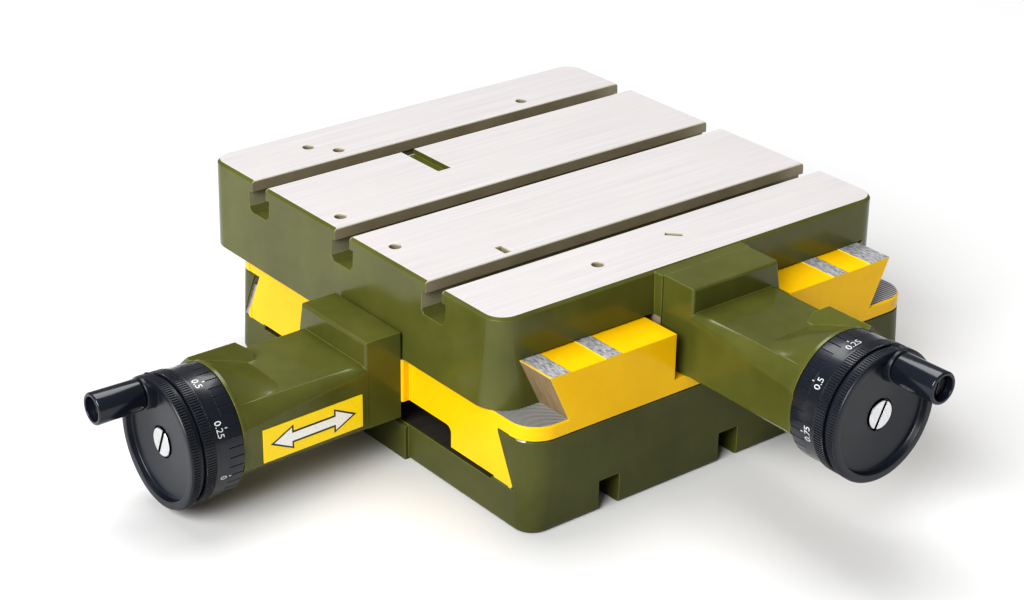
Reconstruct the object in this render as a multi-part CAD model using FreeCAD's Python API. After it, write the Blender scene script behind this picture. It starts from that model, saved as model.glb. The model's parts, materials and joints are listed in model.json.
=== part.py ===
import FreeCAD, Part
import math
import os
from FreeCAD import Vector

# A cross slide table: a base, a saddle that slides on it along X, and a slotted table that
# slides on the saddle along Y, each moved by a leadscrew with a graduated handwheel.
# The origin is the centre of the base's underside and +Z is up. The T-slots run along X,
# the X handwheel stands out at -X and the Y handwheel at -Y. All sizes are in millimetres.

# Driving dimensions

side = 200.0                 # base, saddle and table are all this square

# Base casting
base_over_axis = 8.4         # metal above the X spindle, up to the base's top
base_corner_top = 12.0
base_corner_foot = 8.0
base_foot_edge = 1.5
foot_edge_share = 0.3        # how low the rounded foot's middle lies
base_top_edge = 0.5
keyway_width = 10.0
keyway_height = 12.7
keyway_pitch = 61.0
base_pad_proud = 1.6
base_pad_half = 22.4
base_pad_height = 15.0

# Ways: the dovetails of both slides, with their gibs
way_lean = 25.0              # degrees from upright
way_clearance = 0.04         # oil film, square to each sliding face
floor_height = 16.46         # bearing strips in the base
floor_relief = 1.2
floor_strip = 13.0
lower_way_wall = 9.0         # from the toe of each dovetail to the casting's side
upper_way_wall = 12.0
toe_chamfer = 1.5
gib_width = 3.2              # level thickness of a gib
lower_gib_height = 16.5
upper_gib_height = 15.5
gib_end_inset = 1.0
gib_rise = 0.3               # each gib stands this far above its floor
lower_gib_screw_rise = 9.075
upper_gib_screw_rise = 9.3

# Gib screws and their lock nuts
gib_screw_count = 4
gib_screw_spread = 140.0
gib_screw_radius = 2.0
gib_screw_tip_radius = 1.4
gib_dimple_radius = 1.7
gib_dimple_depth = 1.4
gib_screw_recess = 0.4
locknut_flats = 7.0
locknut_thickness = 3.2
locknut_pocket_radius = 5.0
locknut_pocket_depth = 4.0
set_screw_socket = 2.0
set_screw_socket_depth = 2.2
set_screw_tip_length = 2.4
locknut_corner_depth = 0.378

# Saddle casting
saddle_corner = 12.0
joint_gap = 0.4              # open line between the base and the saddle's plate
plate_thickness = 5.6
plate_edge = 0.6
foot_land = 12.0
foot_relief = 0.8
arch_near = -52.6
arch_far = 50.0
arch_drop = 3.6              # from the X spindle down to the arch's crown
arch_corner = 3.0
cavity_wall = 6.0
cavity_cover = 6.0
end_wall = 12.7
far_end_wall = 6.0
end_face_step = 0.3
end_face_step_below_top = 1.6
saddle_boss_proud = 3.0
way_height = 19.7            # upper way, above the plate
channel_near = -30.0
channel_far = 29.0
land_relief = 0.3
inner_land_near = -64.6
inner_land_far = 53.4
inner_land_width = 7.6
outer_land_near_width = 9.5
outer_land_far_width = 11.0

# Table casting
table_cover = 17.8           # from the top of the upper way to the table's top
table_centre_x = -2.0
table_rest_y = 17.0
table_draft = 1.4            # how far each side leans in from foot to top
table_corner_top = 9.0
table_corner_foot = 13.0
table_top_chamfer = 1.1
table_roof_clearance = 0.4
table_boss_drop = 0.6
table_boss_sink = 2.0
slot_pitch = 60.0
slot_neck_width = 10.0
slot_neck_depth = 5.0
slot_wide_width = 15.0
slot_wide_depth = 8.8
slot_floor_chamfer = 2.0
slot_mouth_chamfer = 0.4
tapped_hole_radius = 2.5
tapped_hole_depth = 12.0
slot_holes = ((-59.5, 1, 22.6), (-50.9, 1, 12.3), (48.3, 1, 13.0), (-37.5, -1, -21.6))
edge_holes = ((10.0, 13.7), (10.6, -22.6))
groove_width = 6.7
groove_length = 26.5
groove_depth = 2.5
groove_x = -27.6
pocket_x = -57.8
pocket_from_slot = 10.5
pocket_width = 3.3
pocket_length = 6.6
pocket_depth = 4.0
slant_x = 4.6
slant_from_slot = 17.8
slant_width = 2.6
slant_length = 6.9
slant_angle = -45.0

# Drives: both leadscrews with their brackets, handwheels and dials
drive_offset = -3.0          # both spindles lie this far off the middle
wheel_floor_gap = 3.6        # under the X handwheel
y_axis_rise = 10.8           # from the saddle's plate to the Y spindle
x_screw_end_gap = 2.0        # before the cavity's far wall
y_screw_short = 13.0         # before the table's far end
thread_radius = 5.0
journal_radius = 4.0
running_gap = 0.05
seat_gap = 0.02
end_float = 0.05
bore_allowance = 0.5
screw_end_chamfer = 1.0

# Leadscrew nuts
nut_length = 24.0
nut_half_width = 14.5
x_nut_cover = 6.9            # from the spindle up to the nut's top
y_nut_cover = 6.2
y_nut_start = -12.0
y_nut_length = 22.0
nut_top_chamfer = 2.0
nut_screw_radius = 2.0
nut_screw_head_radius = 3.5
nut_screw_head_height = 4.0
nut_screw_socket = 3.01
nut_screw_socket_depth = 2.0
nut_screw_gap = 0.2
nut_screw_side_inset = 4.2
x_nut_screw_end_inset = 3.6
y_nut_screw_end_inset = 4.5
x_nut_screw_bite = 9.0
y_nut_screw_bite = 5.0
y_nut_screw_room = 0.3

# Brackets
flange_thickness = 16.3
flange_half = 21.8
flange_far_foot = 24.4
flange_lean_from = 13.0
flange_top_drop = 0.5        # below the table's top
flange_foot_gap = 0.4        # above the saddle's plate
flange_edge = 1.2
boss_margin = 0.9
housing_end = 72.3           # from the flange's back to the face behind the dial
housing_half_root = 22.0
housing_collar_inset = 1.2   # its sides at the end, inside the collar's radius
housing_top = 16.3
housing_foot_gap = 0.2       # above the saddle's plate
housing_corner_root = 3.0
housing_foot_chamfer_root = 0.8
housing_foot_chamfer_end = 2.2
collar_radius = 25.2
ramp_length = 23.8
ramp_depth = 6.0
ramp_sink = 0.4
rim_thickness = 1.4
rim_proud = 0.2
index_angle = 42.0           # from upright, towards the far side
index_half_width = 5.0
index_proud = 1.3            # beyond the collar
index_length = 25.8
index_ramp = 5.0
index_ramp_rise = 5.5
index_sink = 2.0
bush_outer_radius = 6.5
inner_bush_start = 2.0
inner_bush_inset = 0.3
outer_bush_length = 12.0
thrust_washer_radius = 8.5
thrust_washer_thickness = 0.7
bracket_screw_side = 13.5
bracket_screw_up = 4.0
bracket_screw_radius = 2.5
bracket_screw_head_radius = 4.25
bracket_screw_head_height = 5.0
bracket_screw_seat_rise = 2.0
bracket_screw_bite = 12.5
bracket_screw_pocket_gap = 0.4
cap_socket_flats = 4.0
cap_socket_depth = 2.5
cap_head_edge_share = 0.08   # of the head's radius
cap_tip_edge_share = 0.2     # of the shank's radius
drill_tip = 1.0

# Label plate on the X bracket
label_start_gap = 2.1        # from the flange
label_end_gap = 8.5          # from the housing's end
label_foot_gap = 2.6         # from the housing's foot
label_height = 13.6
label_thickness = 0.5

# Dials
dial_gap = 0.3               # behind the dial
dial_width = 16.3
dial_proud = 0.1             # beyond the collar
dial_knurl_proud = 0.6
dial_knurl_width = 5.4
dial_wall = 3.0
dial_web = 3.4
dial_sleeve_wall = 2.5
dial_sleeve_inset = 1.0
dial_edge = 0.3
spring_thickness = 0.4
spring_hub_gap = 1.0
spring_width = 6.0

# Handwheels
hub_radius = 9.0
wheel_thickness = 5.7
wheel_radius = 26.0
wheel_rim = 3.4
wheel_dish_depth = 2.6
wheel_edge = 1.0
wheel_back_edge = 0.5
wheel_rim_edge = 0.3
head_pocket_depth = 1.0
head_pocket_gap = 0.5
wheel_shoulder = 0.6
wheel_screw_head_radius = 5.7
wheel_screw_head_height = 1.6
wheel_screw_radius = 2.5
wheel_screw_gap = 0.2
wheel_screw_length = 12.0
wheel_screw_slot = 1.3
wheel_screw_slot_depth = 0.9
x_slot_lean = -23.0          # the slots as they stand in the photograph, from upright
y_slot_lean = 26.0
hub_pin_radius = 1.0
hub_pin_ahead = 2.75         # from the hub's end
hub_pin_inset = 0.2
slotted_head_edge = 0.25

# Grips
grip_rim_inset = 6.5         # from the wheel's edge to the grip's middle
x_grip_lean = 23.0           # from upright, towards the far side
y_grip_lean = 13.0
grip_boss_inset = 0.1
grip_boss_height = 1.4
grip_radius = 6.3
grip_gap = 0.3
grip_reach = 21.2            # beyond the wheel's face
grip_edge = 1.0
grip_root_edge = 0.6
grip_wall = 1.6
grip_hollow_depth = 5.6
grip_pin_radius = 2.5
grip_thread_radius = 2.0
grip_thread_length = 6.0
grip_thread_room = 0.3
grip_head_gap = 0.7
grip_head_height = 2.4
grip_head_slot = 1.0
grip_head_slot_depth = 1.0

past = 1.0                   # how far a cut runs past the face that it opens, or a joined piece sinks in

# Heights that follow, from the floor up
x_axis_height = wheel_radius + wheel_floor_gap
floor_bottom = floor_height - floor_relief
saddle_foot = floor_height + way_clearance
arch_height = x_axis_height - arch_drop
x_nut_top = x_axis_height + x_nut_cover
base_height = x_axis_height + base_over_axis
plate_bottom = base_height + joint_gap
plate_top = plate_bottom + plate_thickness
cavity_roof = plate_top - cavity_cover
table_foot = plate_top + way_clearance
y_axis_height = plate_top + y_axis_rise
y_nut_top = y_axis_height + y_nut_cover
way_top = plate_top + way_height
table_roof = way_top + table_roof_clearance
table_top_height = way_top + table_cover

# Widths and places that follow
half = side / 2
way_slope = math.tan(math.radians(way_lean))
way_gap = way_clearance / math.cos(math.radians(way_lean))
lower_toe_half = half - lower_way_wall
upper_toe_half = half - upper_way_wall
gib_screw_places = [gib_screw_spread * (i / (gib_screw_count - 1) - 0.5) for i in range(gib_screw_count)]
lower_gib_foot = floor_height + gib_rise
lower_gib_screw_height = lower_gib_foot + lower_gib_screw_rise
upper_gib_foot = table_foot + gib_rise
upper_gib_screw_height = upper_gib_foot + upper_gib_screw_rise
cavity_end = half - far_end_wall
table_boss_proud = saddle_boss_proud
x_flange_back = -(half + saddle_boss_proud)
y_flange_back = table_rest_y - half - table_boss_proud
x_screw_reach = cavity_end - x_screw_end_gap - x_flange_back
y_screw_reach = table_rest_y + half - y_screw_short - y_flange_back
nut_screw_side = nut_half_width - nut_screw_side_inset
x_nut_screw_ahead = nut_length / 2 - x_nut_screw_end_inset
y_nut_screw_ahead = y_nut_length / 2 - y_nut_screw_end_inset

# What follows along and around each spindle
flange_top = table_top_height - flange_top_drop - y_axis_height
flange_bottom = flange_foot_gap - y_axis_rise
housing_bottom = housing_foot_gap - y_axis_rise
housing_half_end = collar_radius - housing_collar_inset
inner_bush_end = flange_thickness - inner_bush_inset
bracket_screw_seat = flange_thickness + bracket_screw_seat_rise
label_start = flange_thickness + label_start_gap
label_end = housing_end - label_end_gap
label_bottom = housing_bottom + label_foot_gap
label_top = label_bottom + label_height
hub_start = housing_end + thrust_washer_thickness + end_float
hub_pin_place = hub_start + hub_pin_ahead
dial_start = housing_end + dial_gap
dial_end = dial_start + dial_width
dial_radius = collar_radius + dial_proud
dial_knurl_radius = dial_radius + dial_knurl_proud
spring_inner_radius = hub_radius + spring_hub_gap
spring_outer_radius = spring_inner_radius + spring_width
wheel_back = dial_end + spring_thickness
wheel_face = wheel_back + wheel_thickness
wheel_dish = wheel_face - wheel_dish_depth
head_seat = wheel_dish - head_pocket_depth
journal_end = head_seat - wheel_shoulder
boss_end = wheel_face + grip_boss_height
grip_offset = wheel_radius - grip_rim_inset
grip_boss_radius = grip_radius - grip_boss_inset
grip_hollow_radius = grip_radius - grip_wall
grip_head_radius = grip_hollow_radius - grip_head_gap
grip_end = wheel_face + grip_reach


# Building blocks

def box(x0, x1, y0, y1, z0, z1):
    return Part.makeBox(x1 - x0, y1 - y0, z1 - z0, Vector(x0, y0, z0))


def outline(points):
    return Part.Face(Part.makePolygon(points + [points[0]]))


def prism_along_x(profile, x0, x1):
    """A profile of (y, z) points, carried from x0 to x1."""
    return outline([Vector(x0, y, z) for y, z in profile]).extrude(Vector(x1 - x0, 0, 0))


def prism_along_y(profile, y0, y1):
    """A profile of (x, z) points, carried from y0 to y1."""
    return outline([Vector(x, y0, z) for x, z in profile]).extrude(Vector(0, y1 - y0, 0))


def prism_up(profile, z0, z1):
    """A profile of (x, y) points, carried from z0 to z1."""
    return outline([Vector(x, y, z0) for x, y in profile]).extrude(Vector(0, 0, z1 - z0))


def rod(radius, start, end):
    span = Vector(*end) - Vector(*start)
    return Part.makeCylinder(radius, span.Length, Vector(*start), span)


def edges_of(shape, chosen):
    return [edge for edge in shape.Edges if chosen(edge.BoundBox)]


def rounded_square(reach, corner, z):
    """A square with rounded corners, lying at height z, whose sides stand this far from its middle."""
    straight = reach - corner
    slack = corner * math.sqrt(0.5)
    parts = []
    for quarter in range(4):
        turn = FreeCAD.Rotation(Vector(0, 0, 1), 90 * quarter)
        run = [Vector(reach, -straight, z), Vector(reach, straight, z)]
        bend = [Vector(reach, straight, z), Vector(straight + slack, straight + slack, z),
                Vector(straight, reach, z)]
        parts.append(Part.makeLine(*[turn.multVec(point) for point in run]))
        parts.append(Part.Arc(*[turn.multVec(point) for point in bend]).toShape())
    return Part.Wire(parts)


def stacked_block(levels):
    """A block through rounded squares, given as (half side, corner radius, height) from the foot up."""
    return Part.makeLoft([rounded_square(*level) for level in levels], True, True)


def at_same(value, wanted):
    """Whether two coordinates are the same, to well under a hundredth of a millimetre."""
    return abs(value - wanted) < 1e-3


def level_rim(shape, z):
    return edges_of(shape, lambda b: at_same(b.ZMin, z) and at_same(b.ZMax, z))


def hexagon(flats, z0, z1):
    radius = flats / math.sqrt(3.0)
    corners = [(radius * math.cos(math.radians(60 * i)), radius * math.sin(math.radians(60 * i)))
               for i in range(6)]
    return prism_up(corners, z0, z1)


def hex_nut(flats, thickness, bore):
    """A lock nut standing on z = 0, with its corners turned off at both faces."""
    blank = Part.makeCylinder(flats / math.sqrt(3.0), thickness)
    blank = blank.makeChamfer(locknut_corner_depth, blank.Edges)
    nut = hexagon(flats, 0, thickness).common(blank)
    return nut.cut(Part.makeCylinder(bore, thickness))


def socket_screw(radius, length, tip_radius, tip_length, socket, socket_depth):
    """A set screw along +Z with its tip at z = 0 and a hexagon socket in its other end."""
    tip = Part.makeCylinder(tip_radius, tip_length)
    shank = Part.makeCylinder(radius, length - tip_length, Vector(0, 0, tip_length))
    return tip.fuse(shank).removeSplitter().cut(hexagon(socket, length - socket_depth, length))


def cap_screw(radius, length, head_radius, head_height, socket, socket_depth):
    """A cap screw along -Z: its shank starts at z = 0 and its head stands above."""
    shank = Part.makeCylinder(radius, length, Vector(0, 0, -length))
    shank = shank.makeChamfer(radius * cap_tip_edge_share, level_rim(shank, -length))
    head = Part.makeCylinder(head_radius, head_height)
    head = head.makeChamfer(head_radius * cap_head_edge_share, level_rim(head, head_height))
    screw = shank.fuse(head).removeSplitter()
    return screw.cut(hexagon(socket, head_height - socket_depth, head_height))


def turn_to(shape, direction):
    """Swings what was made along +Z to another direction."""
    swing = FreeCAD.Placement(Vector(), FreeCAD.Rotation(Vector(0, 0, 1), direction))
    shape.Placement = swing.multiply(shape.Placement)
    return shape


def moved(shape, x, y, z):
    copy = shape.copy()
    copy.translate(Vector(x, y, z))
    return copy


# Ways

def lower_half(z):
    """Half the width of the saddle's lower dovetail at height z."""
    return lower_toe_half - (z - saddle_foot) * way_slope


def upper_half(z):
    """Half the width of the saddle's upper dovetail at height z."""
    return upper_toe_half - (way_top - z) * way_slope


def gib_strip(half_at, z0, z1):
    """The section of a gib that stands beside the far flank, from z0 to z1."""
    inner = way_gap
    outer = way_gap + gib_width
    return [(half_at(z0) + inner, z0), (half_at(z0) + outer, z0),
            (half_at(z1) + outer, z1), (half_at(z1) + inner, z1)]


def female_way(half_at, z0, z1):
    """The open section that takes a dovetail and, on its far side, a gib."""
    near = way_gap
    far = way_gap + gib_width + way_gap
    return [(-half_at(z0) - near, z0), (half_at(z0) + far, z0),
            (half_at(z1) + far, z1), (-half_at(z1) - near, z1)]


def shifted(profile, offset):
    return [(across + offset, z) for across, z in profile]


# Base

def gib_screw_line(half_at, height):
    """Where a gib screw's tip stands, measured from the way's middle."""
    return half_at(height) + way_gap + gib_width - gib_dimple_depth


def base_casting():
    near_edge = base_foot_edge * foot_edge_share
    casting = stacked_block([
        (half - base_foot_edge, base_corner_foot - base_foot_edge / 2, 0),
        (half - near_edge, base_corner_foot - near_edge / 2, near_edge),
        (half, base_corner_foot, base_foot_edge),
        (half, base_corner_top, base_height - base_top_edge),
        (half - base_top_edge, base_corner_top - base_top_edge, base_height)])
    pad = box(-half - base_pad_proud, -half + past,
              drive_offset - base_pad_half, drive_offset + base_pad_half, 0, base_pad_height)
    pad_edges = edges_of(pad, lambda b: b.XMax < -half and b.ZMin > past)
    casting = casting.fuse(pad.makeFillet(base_foot_edge, pad_edges)).removeSplitter()
    way = female_way(lower_half, floor_height, base_height + past)
    casting = casting.cut(prism_along_x(way, -half - past, half + past))
    relief = lower_toe_half - floor_strip
    casting = casting.cut(box(-half - past, half + past, -relief, relief, floor_bottom, floor_height + past))
    for place in (-keyway_pitch, 0.0, keyway_pitch):
        casting = casting.cut(box(place - keyway_width / 2, place + keyway_width / 2,
                                  -half - past, half + past, -past, keyway_height))
    z = lower_gib_screw_height
    for place in gib_screw_places:
        casting = casting.cut(rod(gib_screw_radius + seat_gap, (place, lower_half(z), z),
                                  (place, half + past, z)))
        casting = casting.cut(rod(locknut_pocket_radius, (place, half - locknut_pocket_depth, z),
                                  (place, half + past, z)))
    for along, across in x_nut_screw_places():
        casting = casting.cut(rod(nut_screw_radius + seat_gap,
                                  (along, across, floor_bottom - x_nut_screw_bite - drill_tip),
                                  (along, across, floor_height)))
    return casting


def lower_gib():
    reach = half - gib_end_inset
    strip = gib_strip(lower_half, lower_gib_foot, lower_gib_foot + lower_gib_height)
    gib = prism_along_x(strip, -reach, reach)
    z = lower_gib_screw_height
    tip = gib_screw_line(lower_half, z)
    for place in gib_screw_places:
        gib = gib.cut(rod(gib_dimple_radius, (place, tip, z), (place, tip + gib_width, z)))
    return gib


def gib_screws(tip, outer_face):
    """The four set screws of a gib, and their lock nuts, along +Z from the gib's dimples."""
    length = outer_face - gib_screw_recess - tip
    screw = socket_screw(gib_screw_radius, length, gib_screw_tip_radius, set_screw_tip_length,
                         set_screw_socket, set_screw_socket_depth)
    nut = hex_nut(locknut_flats, locknut_thickness, gib_screw_radius + seat_gap)
    nut.translate(Vector(0, 0, outer_face - locknut_pocket_depth - tip))
    return screw, nut


def lower_gib_fasteners():
    tip = gib_screw_line(lower_half, lower_gib_screw_height)
    screw, nut = [turn_to(piece, Vector(0, 1, 0)) for piece in gib_screws(tip, half)]
    screws = [moved(screw, place, tip, lower_gib_screw_height) for place in gib_screw_places]
    nuts = [moved(nut, place, tip, lower_gib_screw_height) for place in gib_screw_places]
    return Part.makeCompound(screws), Part.makeCompound(nuts)


# Leadscrew nuts and their screws

def x_nut_screw_places():
    return [(-x_nut_screw_ahead, drive_offset - nut_screw_side),
            (x_nut_screw_ahead, drive_offset + nut_screw_side)]


def y_nut_screw_places():
    middle = y_nut_start + y_nut_length / 2
    return [(drive_offset - nut_screw_side, middle - y_nut_screw_ahead),
            (drive_offset + nut_screw_side, middle + y_nut_screw_ahead)]


def x_leadscrew_nut():
    reach = nut_length / 2
    nut = box(-reach, reach, drive_offset - nut_half_width, drive_offset + nut_half_width,
              floor_bottom, x_nut_top)
    top = edges_of(nut, lambda b: at_same(b.ZMin, x_nut_top) and at_same(b.XLength, nut_length))
    nut = nut.makeChamfer(nut_top_chamfer, top)
    nut = nut.cut(rod(thread_radius + running_gap, (-reach - past, drive_offset, x_axis_height),
                      (reach + past, drive_offset, x_axis_height)))
    return with_screw_holes(nut, x_nut_screw_places(), x_nut_top, floor_bottom)


def y_leadscrew_nut():
    nut = box(drive_offset - nut_half_width, drive_offset + nut_half_width,
              y_nut_start, y_nut_start + y_nut_length, plate_top, y_nut_top)
    top = edges_of(nut, lambda b: at_same(b.ZMin, y_nut_top) and at_same(b.YLength, y_nut_length))
    nut = nut.makeChamfer(nut_top_chamfer, top)
    nut = nut.cut(rod(thread_radius + running_gap, (drive_offset, y_nut_start - past, y_axis_height),
                      (drive_offset, y_nut_start + y_nut_length + past, y_axis_height)))
    return with_screw_holes(nut, y_nut_screw_places(), y_nut_top, plate_top)


def nut_screw_seat(top):
    return top - nut_screw_head_height - nut_screw_gap


def with_screw_holes(nut, places, top, bottom):
    for x, y in places:
        nut = nut.cut(rod(nut_screw_radius + nut_screw_gap, (x, y, bottom - past), (x, y, top + past)))
        nut = nut.cut(rod(nut_screw_head_radius + nut_screw_gap, (x, y, nut_screw_seat(top)),
                          (x, y, top + past)))
    return nut


def nut_screws(places, top, bottom, bite):
    seat = nut_screw_seat(top)
    screw = cap_screw(nut_screw_radius, seat - bottom + bite, nut_screw_head_radius, nut_screw_head_height,
                      nut_screw_socket, nut_screw_socket_depth)
    return Part.makeCompound([moved(screw, x, y, seat) for x, y in places])


# Saddle

def saddle_casting():
    casting = stacked_block([
        (half, saddle_corner, plate_bottom),
        (half, saddle_corner, plate_top - plate_edge),
        (half - plate_edge, saddle_corner - plate_edge, plate_top)])
    toe_top = saddle_foot + toe_chamfer
    sunk = plate_bottom + past
    foot = [(-lower_half(sunk), sunk), (-lower_half(toe_top), toe_top),
            (-lower_toe_half + toe_chamfer, saddle_foot), (lower_toe_half - toe_chamfer, saddle_foot),
            (lower_half(toe_top), toe_top), (lower_half(sunk), sunk)]
    casting = casting.fuse(prism_along_x(foot, -half, half))
    sunk = plate_top - past
    head = [(-upper_half(sunk), sunk), (upper_half(sunk), sunk),
            (upper_half(way_top), way_top), (-upper_half(way_top), way_top)]
    casting = casting.fuse(prism_along_y(shifted(head, drive_offset), -half, half))
    boss_near = drive_offset - flange_half - boss_margin
    boss_far = drive_offset + flange_far_foot + boss_margin
    boss = box(x_flange_back, -half + past, boss_near, boss_far, arch_height, plate_top)
    boss_edges = edges_of(boss, lambda b: b.XMax < -half and at_same(b.YLength, 0))
    casting = casting.fuse(boss.makeFillet(boss_margin, boss_edges)).removeSplitter()
    inner = lower_toe_half - foot_land
    below = saddle_foot - past
    casting = casting.cut(box(-half - past, half + past, -inner, inner, below, saddle_foot + foot_relief))
    arch = box(-half - past, half + past, arch_near, arch_far, below, arch_height)
    crown = edges_of(arch, lambda b: at_same(b.ZMin, arch_height) and at_same(b.YLength, 0))
    casting = casting.cut(arch.makeFillet(arch_corner, crown))
    casting = casting.cut(box(-half + end_wall, cavity_end, arch_near + cavity_wall, arch_far - cavity_wall,
                              below, cavity_roof))
    over = way_top + past
    casting = casting.cut(box(channel_near, channel_far, -half - past, half + past, plate_top, over))
    lands = [(drive_offset - upper_toe_half + outer_land_near_width, inner_land_near),
             (inner_land_near + inner_land_width, inner_land_far),
             (inner_land_far + inner_land_width, drive_offset + upper_toe_half - outer_land_far_width)]
    for start, end in lands:
        casting = casting.cut(box(start, end, -half - past, half + past, way_top - land_relief, over))
    for start, end in ((-half + saddle_corner, boss_near), (boss_far, half - saddle_corner)):
        casting = casting.cut(box(-half - past, -half + end_face_step, start, end,
                                  below, plate_top - end_face_step_below_top))
    casting = casting.cut(to_x_drive(bracket_mating_holes()))
    for x, y in y_nut_screw_places():
        casting = casting.cut(rod(nut_screw_radius + seat_gap,
                                  (x, y, plate_top - y_nut_screw_bite - y_nut_screw_room),
                                  (x, y, plate_top + past)))
    return casting


def bracket_mating_holes():
    """What a bracket needs in the face that carries it: the spindle's way in and two tapped holes."""
    holes = along_spindle(thread_radius + bore_allowance, -end_wall - saddle_boss_proud - past, past)
    for across in (-bracket_screw_side, bracket_screw_side):
        holes = holes.fuse(along_spindle(bracket_screw_radius + seat_gap, -bracket_screw_bite - drill_tip,
                                         past, across, bracket_screw_up))
    return holes


# Table

def table_casting():
    top_half = half - table_draft
    casting = stacked_block([
        (half, table_corner_foot, table_foot),
        (top_half, table_corner_top, table_top_height - table_top_chamfer),
        (top_half - table_top_chamfer, table_corner_top - table_top_chamfer, table_top_height)])
    casting.translate(Vector(table_centre_x, table_rest_y, 0))
    way = shifted(female_way(upper_half, table_foot - past, table_roof), drive_offset)
    casting = casting.cut(prism_along_y(way, table_rest_y - half - past, table_rest_y + half + past))
    boss = [(across, min(up, table_top_height - table_boss_drop - y_axis_height))
            for across, up in flange_outline(boss_margin)]
    boss = prism_along_y(boss, 0, table_boss_proud + table_boss_sink)
    lug = box(-flange_half, flange_half, 0, end_wall + table_boss_proud,
              flange_bottom, table_roof - y_axis_height + past)
    carrier = boss.fuse(lug)
    carrier = carrier.cut(bracket_mating_holes())
    casting = casting.fuse(to_y_drive(carrier)).removeSplitter()
    for row in (-slot_pitch, 0.0, slot_pitch):
        casting = casting.cut(t_slot(table_rest_y + row))
    for x, y in tapped_hole_places():
        x += table_centre_x
        y += table_rest_y
        casting = casting.cut(rod(tapped_hole_radius, (x, y, table_top_height - tapped_hole_depth),
                                  (x, y, table_top_height + past)))
    casting = casting.cut(table_pockets())
    outer = table_centre_x + half
    z = upper_gib_screw_height
    inner = drive_offset + upper_half(z)
    for place in gib_screw_places:
        y = table_rest_y + place
        casting = casting.cut(rod(gib_screw_radius + seat_gap, (inner, y, z), (outer + past, y, z)))
        casting = casting.cut(rod(locknut_pocket_radius, (outer - locknut_pocket_depth, y, z),
                                  (outer + past, y, z)))
    return casting


def tapped_hole_places():
    """The small holes in the table's top, from its middle: four beside slots, two by the near edge."""
    beside_slots = [(x, row * slot_pitch + beside) for x, row, beside in slot_holes]
    by_the_edge = [(inset - half, y) for inset, y in edge_holes]
    return beside_slots + by_the_edge


def t_slot(y):
    top = table_top_height
    ledge = top - slot_neck_depth
    floor = ledge - slot_wide_depth
    neck = slot_neck_width / 2
    wide = slot_wide_width / 2
    half_section = [(neck + slot_mouth_chamfer + past, top + past), (neck, top - slot_mouth_chamfer),
                    (neck, ledge), (wide, ledge),
                    (wide, floor + slot_floor_chamfer), (wide - slot_floor_chamfer, floor)]
    section = half_section + [(-across, z) for across, z in reversed(half_section)]
    return prism_along_x(shifted(section, y), table_centre_x - side, table_centre_x + side)


def table_pockets():
    """The groove beside a slot, the small square pocket and the slanted one, in the table's top."""
    top = table_top_height
    slot_edge = slot_pitch - slot_neck_width / 2
    groove = box(groove_x - groove_width / 2, groove_x + groove_width / 2,
                 slot_edge - groove_length, slot_edge + past, top - groove_depth, top + past)
    pocket_y = pocket_from_slot - slot_pitch
    pocket = box(pocket_x - pocket_width / 2, pocket_x + pocket_width / 2,
                 pocket_y - pocket_length / 2, pocket_y + pocket_length / 2, top - pocket_depth, top + past)
    slant = box(-slant_length / 2, slant_length / 2, -slant_width / 2, slant_width / 2,
                top - pocket_depth, top + past)
    slant.rotate(Vector(), Vector(0, 0, 1), slant_angle)
    slant.translate(Vector(slant_x, -slot_pitch - slant_from_slot, 0))
    pockets = groove.fuse(pocket).fuse(slant)
    pockets.translate(Vector(table_centre_x, table_rest_y, 0))
    return pockets


def upper_gib():
    reach = half - gib_end_inset
    strip = gib_strip(upper_half, upper_gib_foot, upper_gib_foot + upper_gib_height)
    gib = prism_along_y(shifted(strip, drive_offset), table_rest_y - reach, table_rest_y + reach)
    z = upper_gib_screw_height
    tip = drive_offset + gib_screw_line(upper_half, z)
    for place in gib_screw_places:
        y = table_rest_y + place
        gib = gib.cut(rod(gib_dimple_radius, (tip, y, z), (tip + gib_width, y, z)))
    return gib


def upper_gib_fasteners():
    tip = drive_offset + gib_screw_line(upper_half, upper_gib_screw_height)
    screw, nut = [turn_to(piece, Vector(1, 0, 0)) for piece in gib_screws(tip, table_centre_x + half)]
    screws = [moved(screw, tip, table_rest_y + place, upper_gib_screw_height) for place in gib_screw_places]
    nuts = [moved(nut, tip, table_rest_y + place, upper_gib_screw_height) for place in gib_screw_places]
    return Part.makeCompound(screws), Part.makeCompound(nuts)


# Drives. Each is made about its own spindle: x is across, towards the far side, z is up, and the
# spindle points along -y, out of the machine, from y = 0 at the bracket's back face.

def to_y_drive(shape):
    return moved(shape, drive_offset, y_flange_back, y_axis_height)


def to_x_drive(shape):
    """The X drive is the mirror image of the Y drive."""
    return moved(shape.mirror(Vector(), Vector(1, -1, 0)), x_flange_back, drive_offset, x_axis_height)


def along_spindle(radius, start, end, across=0.0, up=0.0):
    return rod(radius, (across, -start, up), (across, -end, up))


def turned(profile):
    """A ring turned about the spindle from (outwards, radius) points."""
    points = [Vector(radius, -out, 0) for out, radius in profile]
    return outline(points).revolve(Vector(), Vector(0, 1, 0), 360)


def bush(start, end, inner, outer):
    return along_spindle(outer, start, end).cut(along_spindle(inner, start - past, end + past))


def flange_outline(margin):
    """The flange seen along the spindle, with an even margin around it but at its foot."""
    far_top = flange_half + margin
    return [(-flange_half - margin, flange_bottom), (flange_far_foot + margin, flange_bottom),
            (flange_far_foot + margin, flange_lean_from), (far_top, flange_top),
            (-flange_half - margin, flange_top)]


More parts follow.
